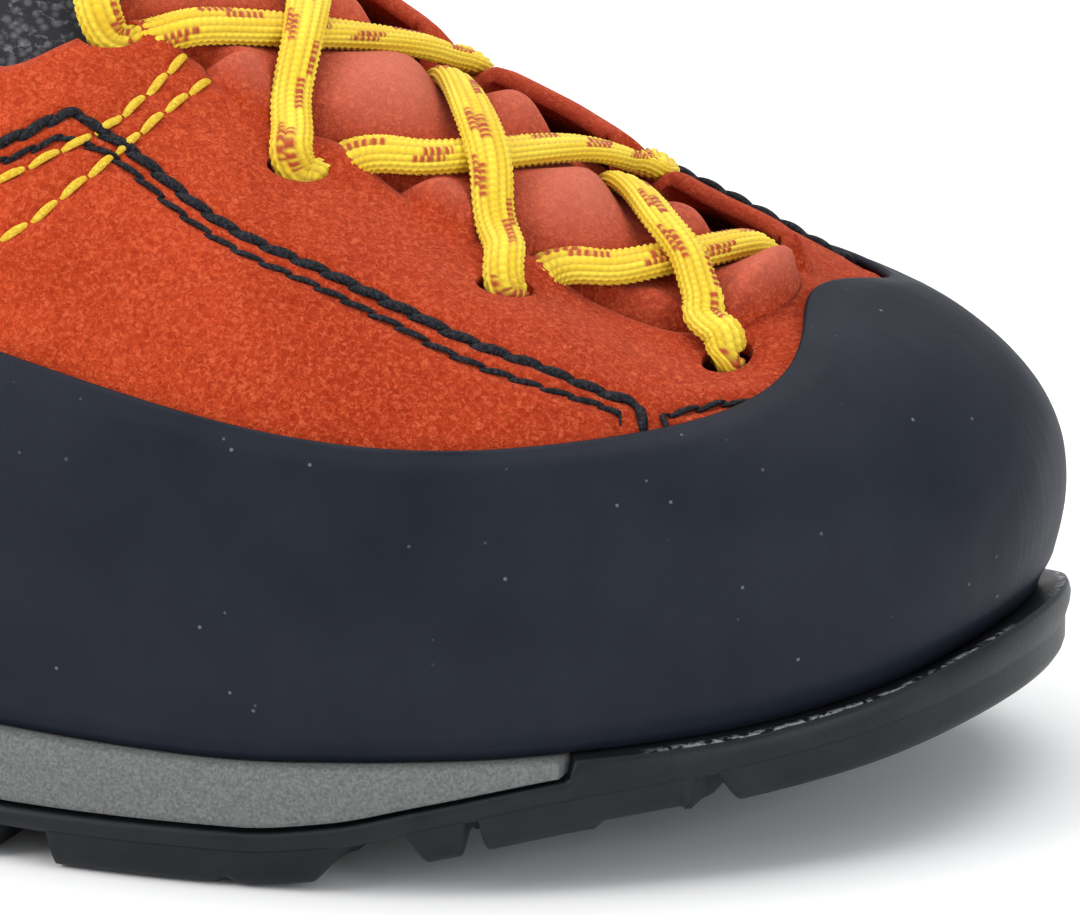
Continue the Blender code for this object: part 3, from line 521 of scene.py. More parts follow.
PRIMES = (
    ((3.60, 0.86, -4.0), (3.50, 0.76, -1.2), (3.40, 0.68, 1.4), (3.18, 0.54, 3.4), (2.87, 0.37, 4.6),
     (2.52, 0.24, 4.7), (2.25, 0.14, 3.4), (2.06, 0.06, 2.6), (1.96, 0.0, 2.1), (1.90, -0.035, 1.7),
     (1.87, -0.060, 1.2)),
    ((4.86, 0.86, -4.4), (4.74, 0.80, -1.6), (4.62, 0.70, 1.4), (4.42, 0.50, 3.6), (4.18, 0.30, 4.8),
     (3.97, 0.15, 4.5), (3.85, 0.06, 3.0), (3.77, -0.005, 2.2), (3.73, -0.05, 1.9), (3.74, -0.085, 1.5)),
    ((5.92, 0.86, -3.6), (5.80, 0.80, -0.6), (5.70, 0.72, 2.0), (5.46, 0.56, 3.6), (5.30, 0.36, 4.7),
     (5.17, 0.17, 4.3), (5.08, 0.05, 2.6), (5.03, -0.01, 2.0), (5.00, -0.05, 1.8), (4.99, -0.075, 1.5)),
    ((7.26, 0.90, -1.0), (7.10, 0.72, 2.0), (6.78, 0.46, 4.6), (6.50, 0.26, 4.8), (6.26, 0.09, 3.4),
     (6.12, -0.01, 2.2), (6.06, -0.04, 1.5)),
    ((7.84, 0.86, -3.0), (7.84, 0.76, 0.6), (7.78, 0.60, 3.4), (7.64, 0.34, 4.8), (7.50, 0.16, 4.2),
     (7.40, 0.02, 2.2), (7.38, -0.04, 1.5)),
)
LACE_LIFT = 0.0009
MM = 0.001
# Share of SLOT_SETBACK behind the station and height on the last of each slot; the heights are a
# little above the solid's, so that the laces end where they should
SLOT_SETBACK = 0.0058
SLOTS = ((0.50, 0.908), (0.96, 0.884), (0.90, 0.919), (0.85, 0.954), (1.00, 0.944), (1.00, 0.934))


def leg_points(leg):
    """Points of a leg over the throat, or down the near side where the share is negative."""
    return [throat(row, share, lift * LACE_LIFT) if share >= 0.0
            else near_side(row, 1.0 + share, lift * LACE_LIFT) for row, share, lift in leg]


def slot_centre(station, medial):
    """Row and height of a lace slot."""
    setback, height = SLOTS[station]
    row = edge_row(STATIONS[station] * SHOE_LENGTH - setback * SLOT_SETBACK)
    return (RING - row if medial else row), height


def near_turn(station):
    """Round in the near slot and forward under the edge to the next bar."""
    q, height = slot_centre(station, False)
    row = STATION_ROWS[station]
    return [near_side(q - 0.05, height + 0.003, -1.0 * MM),
            near_side(q - 0.12, height + 0.014, -1.4 * MM),
            near_side(q - 0.19, height + 0.028, -2.6 * MM),
            near_side(0.4 * q + 0.6 * row, 0.948, -3.8 * MM)]


def far_turn(station):
    """Over the far edge, back through its slot and out inside as the next prime."""
    edge = RING - STATION_ROWS[station] - 0.08
    slot, height = slot_centre(station, True)
    middle = 0.5 * (edge + slot)
    return [near_side(edge, 0.970, 2.0 * MM),
            near_side(middle, 0.940, 1.5 * MM),
            near_side(slot, height + 0.005, 0.4 * MM),
            near_side(slot, height, -2.2 * MM),
            near_side(middle, 0.930, -4.8 * MM)]


def lace_route(first_is_near):
    """One lace from its top station to the toe."""
    points = []
    near = first_is_near
    for front in range(len(STATIONS) - 2, -1, -1):
        points += leg_points(BARS[front] if near else PRIMES[front])
        if near and front:
            points += far_turn(front)
        elif not near:
            points += near_turn(front)[:4 if front else 3]
        near = not near
    return resample(points, LACE_STEP)


def lace_frames(centre):
    """Side and up vectors along a lace whose flat side lies to the foot."""
    run = unit(np.gradient(centre, axis=0))
    middle, half_width = 0.004, 0.012
    lean = np.clip((centre[:, 1] - middle) / half_width, -1.6, 1.6)[:, None]
    up = unit(UPWARD + lean * np.array([0.0, 0.55, 0.0]))
    side = unit(np.cross(run, up))
    for _ in range(40):
        side[1:-1] = unit(side[:-2] + side[1:-1] * 2.0 + side[2:])
    side = unit(side - run * np.sum(side * run, -1, keepdims=True))
    return side, np.cross(side, run)


LACE_AROUND = 42
WALES = 14
BRAID_PITCH = 0.00085
BRAID_RELIEF = 0.00026
FLECK_SPREAD = 0.0040
FLECK_LAG = 0.0013
FLECK_PERIOD = 0.0240
# Red flecks: start and length in a period, and the wales they run along
FLECKS = ((0.000, 0.0042, (1, 2)), (0.0085, 0.0048, (4,)), (0.015, 0.0040, (2, 3)), (0.004, 0.0044, (5,)),
          (0.002, 0.0040, (8,)), (0.012, 0.0040, (11, 10)))
LACE_YELLOW = np.array([0.80, 0.54, 0.006])
LACE_PALE = np.array([0.92, 0.74, 0.050])
LACE_OCHRE = np.array([0.42, 0.20, 0.004])
LACE_RED = np.array([0.40, 0.050, 0.005])


def squared(value):
    """A sine or cosine bent so that the round turns a little boxy."""
    return np.sign(value) * np.abs(value) ** 0.85


def make_lace(name, first_is_near, nodes, material, seed):
    """Flat braided lace: wales run along it, and red flecks follow some of them."""
    centre = lace_route(first_is_near)
    side, up = lace_frames(centre)
    turn = np.linspace(0.0, 2.0 * math.pi, LACE_AROUND, endpoint=False)
    along = np.arange(len(centre)) * LACE_STEP
    wale = turn / (2.0 * math.pi) * WALES
    number = np.floor(wale).astype(int)
    crest = np.abs(np.sin(np.pi * wale))[None, :] ** 0.6
    beat = 0.5 + 0.5 * np.cos(2.0 * math.pi * (along[:, None] / BRAID_PITCH + 0.5 * (number % 2)))
    braid = BRAID_RELIEF * (crest - 1.0 + (beat - 0.5) * crest)
    squash = 1.0 + 0.05 * np.sin(along * 170.0)[:, None]
    half_w = (0.5 * LACE_WIDTH * squash + braid) * squared(np.cos(turn))
    half_t = (0.5 * LACE_THICKNESS / squash + braid) * squared(np.sin(turn))
    points = centre[:, None] + side[:, None] * half_w[..., None] + up[:, None] * half_t[..., None]

    random = np.random.default_rng(seed)
    tone_of = random.uniform(0.0, 1.0, WALES)[number][None, :]
    drift = 0.5 + 0.5 * np.sin(along[:, None] * 420.0 + tone_of * 9.0)
    mix = (tone_of * 0.45 + drift * 0.55)[..., None]
    shade = np.clip(0.30 + 0.50 * crest + 0.34 * beat, 0.0, 1.0)[..., None]
    tones = LACE_OCHRE * (1.0 - shade) + (LACE_YELLOW * (1.0 - mix) + LACE_PALE * mix) * shade
    red = LACE_RED * (0.6 + 0.6 * beat[..., None])
    knot = smooth((beat - 0.10) / 0.25)[..., None]
    for start, length, wales in FLECKS:
        place = along + random.uniform(0.0, FLECK_SPREAD) - start
        for step, one in enumerate(wales):
            lag = np.mod(place - step * FLECK_LAG, FLECK_PERIOD)
            inside = (lag < length)[:, None] & (number == one)[None, :]
            tones = np.where(inside[..., None], red * knot + tones * (1.0 - knot), tones)
    quads = grid_quads(len(centre), LACE_AROUND, False, True)
    item = make_mesh(name, points.reshape(-1, 3), quads, [material], tones=tones.reshape(-1, 3))
    return finish_piece(item, "lace_yellow", *nodes)


# Sewing
THREAD_STEP = 0.0002


def stitch_line(points, step=THREAD_STEP):
    """Dense line on the suede through (row, share of the suede's height) pairs."""
    q = np.array([point[0] for point in points])
    share = np.array([point[1] for point in points])
    marks = np.arange(len(points))
    fine = np.linspace(0.0, marks[-1], 40 * len(points))
    q, share = np.interp(fine, marks, q), np.interp(fine, marks, share)
    lengths = travelled(last(q, suede_height(q, share)))
    places = np.arange(0.0, lengths[-1], step)
    return np.interp(places, lengths, q), np.interp(places, lengths, share)


YELLOW_ROWS = (
    ((5.61, 1.00), (5.72, 0.83), (5.84, 0.69), (5.97, 0.62), (6.17, 0.575), (6.55, 0.50), (6.95, 0.43),
     (7.4, 0.38), (8.0, 0.33), (8.6, 0.26), (9.1, 0.16), (9.5, 0.0)),
    ((5.46, 1.00), (5.64, 0.79), (5.75, 0.66), (5.87, 0.545), (6.09, 0.40), (6.30, 0.31), (6.7, 0.21),
     (7.1, 0.13), (7.5, 0.06), (7.9, 0.0)),
)
BLACK_ROWS = (
    ((8.78, 1.0), (8.55, 0.90), (8.1, 0.80), (7.4, 0.77), (6.9, 0.74), (6.5, 0.70), (6.32, 0.69),
     (6.08, 0.72), (6.02, 0.71), (5.90, 0.645), (5.38, 0.590), (4.86, 0.540), (4.24, 0.490), (3.59, 0.370),
     (3.26, 0.272), (3.07, 0.215), (3.01, 0.17), (3.07, -0.03)),
    ((8.98, 1.0), (8.68, 0.86), (8.1, 0.73), (7.4, 0.70), (6.9, 0.67), (6.5, 0.63), (6.30, 0.62),
     (6.06, 0.645), (5.96, 0.608), (5.52, 0.548), (5.00, 0.500), (4.34, 0.430), (3.82, 0.322), (3.40, 0.228),
     (3.23, 0.182), (3.16, 0.14), (3.19, -0.02)),
)
SHORT_ROW = ((2.89, -0.02), (2.87, 0.115), (2.62, 0.125), (2.36, 0.115), (2.22, 0.05), (2.05, -0.03))


def both_sides(line):
    """A line on the little-toe side and its twin on the other."""
    return [line, tuple((RING - q, share) for q, share in line)]


def groove_lines():
    """All the seams as dense lines on the suede."""
    lines = []
    for row in YELLOW_ROWS + BLACK_ROWS + (SHORT_ROW,):
        for line in both_sides(row):
            q, share = stitch_line(line, 3.0 * THREAD_STEP)
            lines.append(last(q, suede_height(q, share)))
    return lines


# Length, pitch, width, height, slant and sink of the stitches of each thread
YELLOW_STITCH = (0.0041, 0.0043, 0.00105, 0.00050, 0.0002, 0.00020)
THICK_STITCH = (0.0050, 0.0038, 0.00135, 0.00045, 0.0009, 0.00020)
THIN_STITCH = (0.0042, 0.0035, 0.00080, 0.00032, 0.0007, 0.00018)


def stitches(name, rows, style, material, slot_name):
    """Row after row of short thread stitches, as one mesh."""
    length, pitch, width, height, slant, sink = style
    ring, steps = 8, 9
    turn = np.linspace(0.0, 2.0 * math.pi, ring, endpoint=False)
    share = np.linspace(0.0, 1.0, steps)
    swell = np.sin(np.pi * np.clip(share * 0.96 + 0.02, 0.0, 1.0)) ** 0.24
    points, quads = [], []
    for line in rows:
        q, up_share = stitch_line(line)
        centre = suede_point(q, up_share)
        normal = last_normal(q, suede_height(q, up_share))
        run = unit(np.gradient(centre, axis=0))
        jump = pitch / THREAD_STEP
        for number in range(int(len(q) / jump)):
            start = int(number * jump)
            stop = min(len(q) - 1, int(start + length / THREAD_STEP))
            if stop - start < 4:
                continue
            index = np.linspace(start, stop, steps).astype(int)
            middle = index[steps // 2]
            side = unit(np.cross(normal[middle], run[middle]))
            bow = np.sin(np.pi * share)[:, None] * height - sink
            lean = (share - 0.5)[:, None] * slant
            spine = centre[index] + normal[index] * bow + side * lean
            ringed = (spine[:, None, :]
                      + side * (0.5 * width * swell[:, None] * np.cos(turn))[..., None]
                      + normal[middle] * (0.38 * width * swell[:, None] * np.sin(turn))[..., None])
            quads.append(grid_quads(steps, ring, False, True) + sum(len(p) for p in points))
            points.append(ringed.reshape(-1, 3))
    item = make_mesh(name, np.concatenate(points), np.concatenate(quads), [material])
    return finish_piece(item, slot_name)


# Upper
def far_flaps(row):
    """1 along each flap of the far edge, 0 where a lace crosses the edge."""
    near = np.min([np.abs(row - (place + 0.10)) for place in STATION_ROWS[1:4]], axis=0)
    return smooth((near - 0.10) / 0.16) * smooth((row - 1.55) / 0.50) * smooth((6.35 - row) / 0.45)


def flare(q, share):
    """How far the suede's edge stands out of the last: far flaps stand up, near tips swell."""
    row = fold(q)
    far = 0.0038 * far_flaps(row) * smooth((share - 0.60) / 0.40)
    tips = np.max([np.exp(-((row - place) / 0.20) ** 2) for place in STATION_ROWS[1:4]], axis=0)
    near = 0.0011 * tips * smooth((share - 0.82) / 0.18)
    medial = on_medial(q)[..., None]
    outwards = last_normal(q, suede_height(q, share))
    return np.where(medial, far[..., None] * UPWARD, near[..., None] * outwards)


# Soft troughs and ridges in the suede: (row, share), (row, share), half width in mm, depth in mm
CREASES = (
    ((4.55, 0.93), (4.05, 0.80), 5.0, -0.45),
    ((3.25, 0.90), (2.60, 0.72), 5.0, -0.55),
    ((3.90, 0.62), (3.20, 0.55), 7.0, 0.50),
    ((5.30, 0.80), (4.80, 0.68), 7.0, 0.40),
    ((2.30, 0.60), (1.70, 0.45), 4.0, -0.35),
    ((6.60, 0.35), (5.60, 0.25), 9.0, 0.35),
    ((8.60, 0.55), (7.60, 0.30), 6.0, -0.60),
    ((9.60, 0.50), (9.00, 0.25), 5.0, -0.50),
    ((21.5, 0.60), (20.4, 0.40), 6.0, -0.50),
    ((23.9, 0.80), (24.6, 0.55), 6.0, -0.45),
    ((18.9, 0.60), (18.2, 0.30), 6.0, -0.55),
)


def relief(points):
    """Height of the suede over the smooth last."""
    total = 0.00016 * waves(points, 0.030, 4) + 0.00005 * waves(points, 0.006, 9, 2)
    for start, end, width, depth in CREASES:
        rows, shares = np.linspace(start, end, 30).T
        line = last(rows, suede_height(rows, shares))
        away = distance_to(points, [line], 0.03)
        total = total + depth * MM * np.exp(-(away / (width * MM)) ** 2)
    seam = distance_to(points, groove_lines(), 0.004)
    total = total - 0.00034 * np.exp(-(seam / 0.0007) ** 2)
    total = total + 0.00022 * np.exp(-((seam - 0.0022) / 0.0012) ** 2)
    for station in range(len(STATIONS)):
        for medial in (False, True):
            away = np.linalg.norm(points - last(*slot_centre(station, medial)), axis=-1)
            total = total - 0.0007 * np.exp(-(away / 0.0042) ** 2)
    return total


def suede_point(q, share):
    """Point on the suede with its flaps and tips, but without creases."""
    return last(q, suede_height(q, share)) + flare(q, share)


def make_upper(material, lining):
    q_line = ring_rows(0.00085, 0.0022)[:-1]
    low = np.array([0.0, 0.5, 0.85])
    high = np.concatenate([np.linspace(-0.06, 0.85, 74), np.linspace(0.86, 1.0, 16)])
    q, low_share = np.meshgrid(q_line, low)
    t_low = low_share * rand_top(q)
    q_high, share = np.meshgrid(q_line, high)
    t_high = suede_height(q_high, share)
    outer_low = offset_last(q, t_low, np.zeros_like(t_low))
    base = last(q_high, t_high)
    lift = relief(base) * smooth((share + 0.06) / 0.06)
    outer = base + last_normal(q_high, t_high) * lift[..., None] + flare(q_high, share)

    around = np.roll(outer[-1], -1, 0) - np.roll(outer[-1], 1, 0)
    rise = unit(outer[-1] - outer[-3])
    normal = unit(np.cross(rise, around))
    half = 0.5 * UPPER_WALL
    rim = [outer[-1] + normal * (half * (math.cos(a) - 1.0)) + rise * (half * math.sin(a))
           for a in np.radians([35.0, 65.0, 90.0, 115.0, 150.0])]
    back = np.linspace(1.0, 0.0, 14)
    q_back, share_back = np.meshgrid(q_line, back)
    t_back = suede_height(q_back, share_back)
    inner = last(q_back, t_back) - last_normal(q_back, t_back) * UPPER_WALL + flare(q_back, share_back)
    t_low_back = t_low[::-1]
    inner_low = offset_last(q, t_low_back, np.full_like(t_low_back, -UPPER_WALL))
    grid = np.concatenate([outer_low, outer, np.stack(rim), inner, inner_low], 0)
    rows, cols = grid.shape[:2]
    quads = grid_quads(rows, cols, True, True)
    # darker tone along the suede's top rows and over its rounded rim
    edge_darkening = np.zeros((rows, cols))
    top = len(low) + len(high)
    edge_darkening[top - 4:top] = np.array([0.1, 0.3, 0.6, 0.9])[:, None]
    edge_darkening[top:top + len(rim)] = 1.0
    item = make_mesh("suede_upper", grid.reshape(-1, 3), quads, [material, lining],
                     values={"edge_darkening": edge_darkening.ravel()})
    inside = np.zeros(len(quads), np.int32).reshape(rows, cols)
    inside[top + len(rim) + 3:] = 1
    item.data.polygons.foreach_set("material_index", inside.ravel())
    cut_slots(item)
    return finish_piece(item, "suede_red", "upper")


# Length and width of a cut slot, the turn of its length and the depth of the tool that cuts it
SLOT_CUT = (0.0076, 0.0043)
SLOT_TURN = math.radians(38.0)
SLOT_CUTTER_DEPTH = 0.012


def cut_slots(item):
    """Cuts the rounded lace slots through the suede; the first far one lies under the flap."""
    bm = bmesh.new()
    for station in range(len(STATIONS)):
        for medial in (False, True):
            if medial and station == 0:
                continue
            q, t = slot_centre(station, medial)
            turn = -SLOT_TURN if medial else SLOT_TURN
            q = q + 0.03 if medial else q - 0.03
            centre = Vector(last(q, t) + ORIGIN)
            normal = Vector(last_normal(q, t)).normalized()
            around = Vector(last(q - 0.05, t) - last(q + 0.05, t)).normalized()
            up = around.cross(normal).normalized() * (1.0 if around.cross(normal).z > 0.0 else -1.0)
            turned = around * math.cos(turn) + up * math.sin(turn)
            across = normal.cross(turned).normalized()
            made = bmesh.ops.create_cone(bm, cap_ends=True, segments=28, radius1=0.5, radius2=0.5,
                                         depth=SLOT_CUTTER_DEPTH)["verts"]
            for vert in made:
                x, y, z = vert.co
                vert.co = centre + turned * x * SLOT_CUT[0] + across * y * SLOT_CUT[1] + normal * z
    bmesh.ops.recalc_face_normals(bm, faces=bm.faces)
    mesh = bpy.data.meshes.new("slots")
    bm.to_mesh(mesh)
    bm.free()
    tool = bpy.data.objects.new("slots", mesh)
    bpy.context.scene.collection.objects.link(tool)
    modifier = item.modifiers.new("slots", "BOOLEAN")
    modifier.operation = "DIFFERENCE"
    modifier.solver = "MANIFOLD"
    modifier.object = tool
    applied(item)
    bpy.data.objects.remove(tool, do_unlink=True)


# Rand
def make_rand(material):
    q_line = ring_rows(0.0012, 0.0022, 0.3)[:-1]
    heights = [np.linspace(0.0, 0.06, 6), np.linspace(0.09, 0.94, 44), np.linspace(0.955, 0.985, 4)]
    q, share = np.meshgrid(q_line, np.concatenate(heights))
    t = share * rand_top(q)
    points = last(q, t)
    thin = 1.0 - 0.35 * smooth((share - 0.90) / 0.10)
    wall = RAND_WALL * thin + 0.00018 * waves(points, 0.034, 21) + 0.00004 * waves(points, 0.010, 22, 2)
    tuck = 0.0007 * np.exp(-(share / 0.03) ** 2)
    outer = offset_last(q, t, FIT_GAP + wall - tuck)
    t_edge = rand_top(q_line)
    normal = last_normal(q_line, t_edge)
    rise = unit(last(q_line, t_edge) - last(q_line, t_edge - 0.02))
    half = 0.5 * RAND_WALL * 0.65
    centre = last(q_line, t_edge) + normal * (FIT_GAP + half) - rise * half
    rim = [centre + normal * (half * math.cos(a)) + rise * (half * math.sin(a))
           for a in np.radians([20.0, 50.0, 80.0, 110.0, 150.0, 180.0])]
    inner_share = np.array([0.9, 0.5, 0.2, 0.0])
    q_in, s_in = np.meshgrid(q_line, inner_share)
    inner = offset_last(q_in, s_in * rand_top(q_in), np.full_like(q_in, FIT_GAP))
    grid = np.concatenate([outer, np.stack(rim), inner], 0)
    rows, cols = grid.shape[:2]
    u = travelled(last(np.append(q_line, q_line[0] + RING), 0.3))
    v = np.concatenate([np.linspace(0.0, 0.05, rows), [0.0]])
    item = make_mesh("rubber_rand", grid.reshape(-1, 3), grid_quads(rows, cols, True, True),
                     [material], grid_corners(u, v))
    return finish_piece(item, "rubber_rand", "rand")


# Sole
def sweep(q_line, profile, low, top):
    """Sections of a sole along its outline; a profile point is an inset, a share and a drop in height."""
    rows = []
    for inset, share, drop in profile:
        x, y = outline(q_line, inset)
        rows.append(np.stack([x, y, low(x) + (top(x) - low(x)) * share + drop], -1))
    return np.stack(rows)


def midsole_top(x):
    return feather_z(x) - FIT_GAP


def midsole_bottom(x):
    return ground_z(x) + OUTSOLE_DEPTH + FIT_GAP


def make_midsole(material):
    front = float(side_row(MIDSOLE_FRONT * SHOE_LENGTH, False))
    medial = float(side_row(MIDSOLE_FRONT * SHOE_LENGTH, True))
    q_line = np.linspace(front, medial, 620)
    profile = ((0.0200, 1.0, 0.0), (0.0030, 1.0, 0.0), (0.0015, 1.0, 0.0), (0.0009, 0.975, 0.0),
               (0.0005, 0.94, 0.0), (0.0002, 0.86, 0.0), (0.0, 0.7, 0.0), (0.0, 0.5, 0.0), (0.0, 0.3, 0.0),
               (0.0001, 0.12, 0.0), (0.0002, 0.03, 0.0), (0.0010, 0.0, 0.0), (0.0200, 0.0, 0.0))
    grid = sweep(q_line, profile, midsole_bottom, midsole_top)
    left, right = grid[:, :1], grid[:, -1:]
    middle = 0.5 * (left + right)
    grid = np.concatenate([middle, left, grid, right, middle], 1)
    rows, cols = grid.shape[:2]
    item = make_mesh("foam_midsole", grid.reshape(-1, 3), grid_quads(rows, cols, True, False), [material])
    return finish_piece(item, "foam_grey", "midsole")


def box_block(corners_top, corners_low):
    """Eight corners of a block as a closed list of quads."""
    points = np.concatenate([corners_top, corners_low])
    quads = np.array([[0, 1, 2, 3], [7, 6, 5, 4], [0, 4, 5, 1], [1, 5, 6, 2], [2, 6, 7, 3], [3, 7, 4, 0]])
    return points, quads


def ramp(value):
    """0 to 1 with only a little rounding at both ends."""
    return 0.6 * np.clip(value, 0.0, 1.0) + 0.4 * smooth(value)


NICK_PLACE = 0.0742
TOE_NOTCH = (0.1212, 0.1258)
TOE_RECESS = 0.1125
# How far up the walls of the tread reach into the sole, and how far its gaps sink
TREAD_ROOT = LUG_DEPTH + 0.0016
TREAD_SINK = LUG_DEPTH + 0.0008


def lug_depth(x):
    """Share of the lug depth that stands at a place along the sole's edge."""
    depth = np.zeros_like(x)
    for front, back, front_slope, back_slope in EDGE_LUGS:
        ahead = ramp((front * SHOE_LENGTH - x) / (front_slope * MM))
        behind = ramp((x - back * SHOE_LENGTH) / (back_slope * MM))
        depth = np.maximum(depth, ahead * behind)
    return depth - 0.12 * np.exp(-((x - NICK_PLACE) / 0.0009) ** 2)


def zone_depth(x):
    """The same for the climbing zone, with its sharp notch."""
    back, front = TOE_NOTCH
    start = ramp((x - CLIMBING_ZONE_BACK * SHOE_LENGTH) / 0.0012)
    notch = ramp((x - back) / 0.0008) * ramp((front - x) / 0.0024)
    recess = 0.16 * ramp((x - TOE_RECESS) / 0.0006) * ramp((back - x) / 0.0004)
    return start * (1.0 - 0.86 * notch) * (1.0 - recess)


def tread_points(rows, inset, lift, depth, share=1.0):
    """Line along the sole's edge at a lift over the ground, sunk where the tread has a gap."""
    x, y = outline(rows, inset)
    sunk = TREAD_SINK * (1.0 - depth(x)) * share
    return np.stack([x, y, ground_z(x) + np.minimum(lift + sunk, TREAD_ROOT)], -1)


def tread_edge(rows, depth):
    """Side wall and rounded lower corner of the tread along one edge, from the top down."""
    wall = ((0.0003, 0.0018), (0.0006, 0.0009), (0.0011, 0.0003), (0.0019, 0.0))
    return ([tread_points(rows, 0.0003, TREAD_ROOT, depth, 0.0)]
            + [tread_points(rows, inset, lift, depth) for inset, lift in wall])


def lug_strip(medial):
    """All the lugs along one edge of the sole as one strip; between them it sinks into the base."""
    rows = np.linspace(3.2, LAST_ROW - 0.6, 900)
    rows = RING - rows if medial else rows
    inner = ((LUG_BAND - 0.0022, 0.0), (LUG_BAND - 0.0008, 0.0006), (LUG_BAND, TREAD_ROOT))
    inner = [tread_points(rows, inset, lift, lug_depth) for inset, lift in inner]
    return np.stack(tread_edge(rows, lug_depth) + inner, 1)


def zone_sheet():
    """Climbing zone under the toe, from one side wall to the other."""
    rows = np.linspace(0.0, 4.6, 420)
    lateral = tread_edge(rows, zone_depth)
    medial = tread_edge(RING - rows, zone_depth)
    middle = []
    for share in np.linspace(0.0, 1.0, 12)[1:-1]:
        point = lateral[-1] + (medial[-1] - lateral[-1]) * share
        sunk = TREAD_SINK * (1.0 - zone_depth(point[:, 0]))
        point[:, 2] = ground_z(point[:, 0]) + np.minimum(sunk, TREAD_ROOT)
        middle.append(point)
    return np.stack(lateral + middle + medial[::-1], 1)


def make_tread(material):
    """Lugs round the edge, studs inside them and the smooth climbing zone under the toe."""
    points, quads = [], []

    def add(block, faces):
        quads.append(faces + sum(len(part) for part in points))
        points.append(block)

    for grid in (lug_strip(False), lug_strip(True), zone_sheet()):
        rows, cols = grid.shape[:2]
        add(grid.reshape(-1, 3), grid_quads(rows, cols, False, False))
    corners = ((1, -1), (1, 1), (-1, 1), (-1, -1))
    for along, across in STUDS:
        x, y = along * SHOE_LENGTH, across * BALL_WIDTH
        layers = []
        for draft, rise in ((0.0, LUG_DEPTH + 0.0010), (0.0003, 0.0008), (0.0008, 0.0003), (0.0016, 0.0)):
            half_x, half_y = STUD_LENGTH / 2 - draft, STUD_WIDTH / 2 - draft
            layers.append(np.array([(x + sx * half_x, y + sy * half_y, ground_z(x + sx * half_x) + rise)
                                    for sx, sy in corners]))
        for upper_ring, lower_ring in zip(layers[:-1], layers[1:]):
            add(*box_block(upper_ring, lower_ring))
    item = make_mesh("tread_blocks", np.concatenate(points), np.concatenate(quads), [material])
    item.data.set_sharp_from_angle(angle=math.radians(50.0))
    return finish_piece(item, "rubber_black", "outsole")


def make_outsole(material):
    step_row = float(side_row(MIDSOLE_FRONT * SHOE_LENGTH, False)) - 0.06
    q_line = np.linspace(0.0, RING, 1000, endpoint=False)
    ahead = smooth((step_row + 0.01 - fold(q_line)) / 0.02)

    def low(x):
        return ground_z(x) + LUG_DEPTH

    def top(x):
        return midsole_top(x) * ahead + (ground_z(x) + OUTSOLE_DEPTH) * (1.0 - ahead)

    profile = ((0.0220, 1.0, 0.0), (0.0040, 1.0, 0.0), (0.0014, 1.0, 0.0), (0.0006, 1.0, -0.0002),
               (0.0002, 0.94, 0.0), (-0.0001, 0.80, 0.0), (-0.0003, 0.6, 0.0), (-0.0002, 0.4, 0.0),
               (0.0001, 0.2, 0.0), (0.0003, 0.0, 0.0003), (0.0009, 0.0, 0.0), (0.0220, 0.0, 0.0))
    grid = sweep(q_line, profile, low, top)
    opposite = -np.arange(len(q_line)) % len(q_line)
    middle = 0.5 * (grid[:1] + grid[:1, opposite])
    low_middle = 0.5 * (grid[-1:] + grid[-1:, opposite])
    grid = np.concatenate([middle, grid, low_middle], 0)
    rows, cols = grid.shape[:2]
    glint = np.zeros((rows, cols))
    glint[4] = smooth((3.3 - fold(q_line)) / 0.5) * smooth((fold(q_line) - 0.2) / 0.5)
    item = make_mesh("rubber_outsole", grid.reshape(-1, 3), grid_quads(rows, cols, False, True), [material],
                     values={"glint": glint.ravel()})
    return finish_piece(item, "rubber_black", "outsole")


def make_insole(material):
    rows = np.linspace(0.02, LAST_ROW - 0.02, 160)
    inset = WELT + UPPER_WALL + TOE_FLANGE + INSOLE_PLAY
    lat_x, lat_y = outline(rows, inset)
    med_x, med_y = outline(RING - rows, inset)
    share = np.linspace(0.0, 1.0, 41)[None, :]
    x = lat_x[:, None] + (med_x - lat_x)[:, None] * share
    y = lat_y[:, None] + (med_y - lat_y)[:, None] * share
    cup = INSOLE_CUP * ((2.0 * np.abs(share - 0.5)) ** 4 - 1.0)
    top = np.stack([x, y, feather_z(x) + INSOLE_THICKNESS + cup], -1)
    quads = grid_quads(len(rows), share.size, False, False)[:, ::-1]
    item = make_mesh("insole_board", top.reshape(-1, 3), quads, [material])
    return finish_piece(item, "insole_grey", "insole")


# Padding
def make_collar(material):
    front = STATION_ROWS[-1] + 0.75
    q_line = np.linspace(front, RING - front, 520)
    ends = np.sin(np.pi * np.clip((q_line - front) / (RING - 2.0 * front), 0.0, 1.0)) ** 0.35
    gap = UPPER_WALL + FIT_GAP
    rows = []
    taper = 0.02 + 0.98 * smooth((fold(q_line) - front) / 2.6)
    for share, depth in ((0.40, 0.0), (0.48, 0.25), (0.58, 0.55), (0.68, 0.82), (0.78, 0.97), (0.87, 1.0),
                         (0.94, 0.93), (1.0, 0.80)):
        t = suede_height(q_line, 1.0 - (1.0 - share) * taper)
        rows.append(offset_last(q_line, t, -(gap + 0.0012 + COLLAR_PAD * depth * ends)))
    t_edge = suede_height(q_line, 1.0)
    for depth, lift in ((0.66, 0.45), (0.50, 0.80), (0.34, 0.95), (0.18, 0.85), (0.05, 0.50), (-0.05, 0.0)):
        point = offset_last(q_line, t_edge, -(gap + 0.0003 + COLLAR_PAD * depth * ends))
        point[:, 2] += COLLAR_ROLL * lift * ends
        rows.append(point)
    grid = np.stack(rows)
    grid = grid + 0.0003 * waves(grid, 0.022, 31)[..., None] * last_normal(q_line, t_edge)[None]
    quads = grid_quads(len(rows), len(q_line), False, False)
    item = make_mesh("collar_padding", grid.reshape(-1, 3), quads, [material])
    subdivide = item.modifiers.new("smooth", "SUBSURF")
    subdivide.levels = subdivide.render_levels = 1
    applied(item)
    return finish_piece(item, "mesh_grey", "collar_pad")


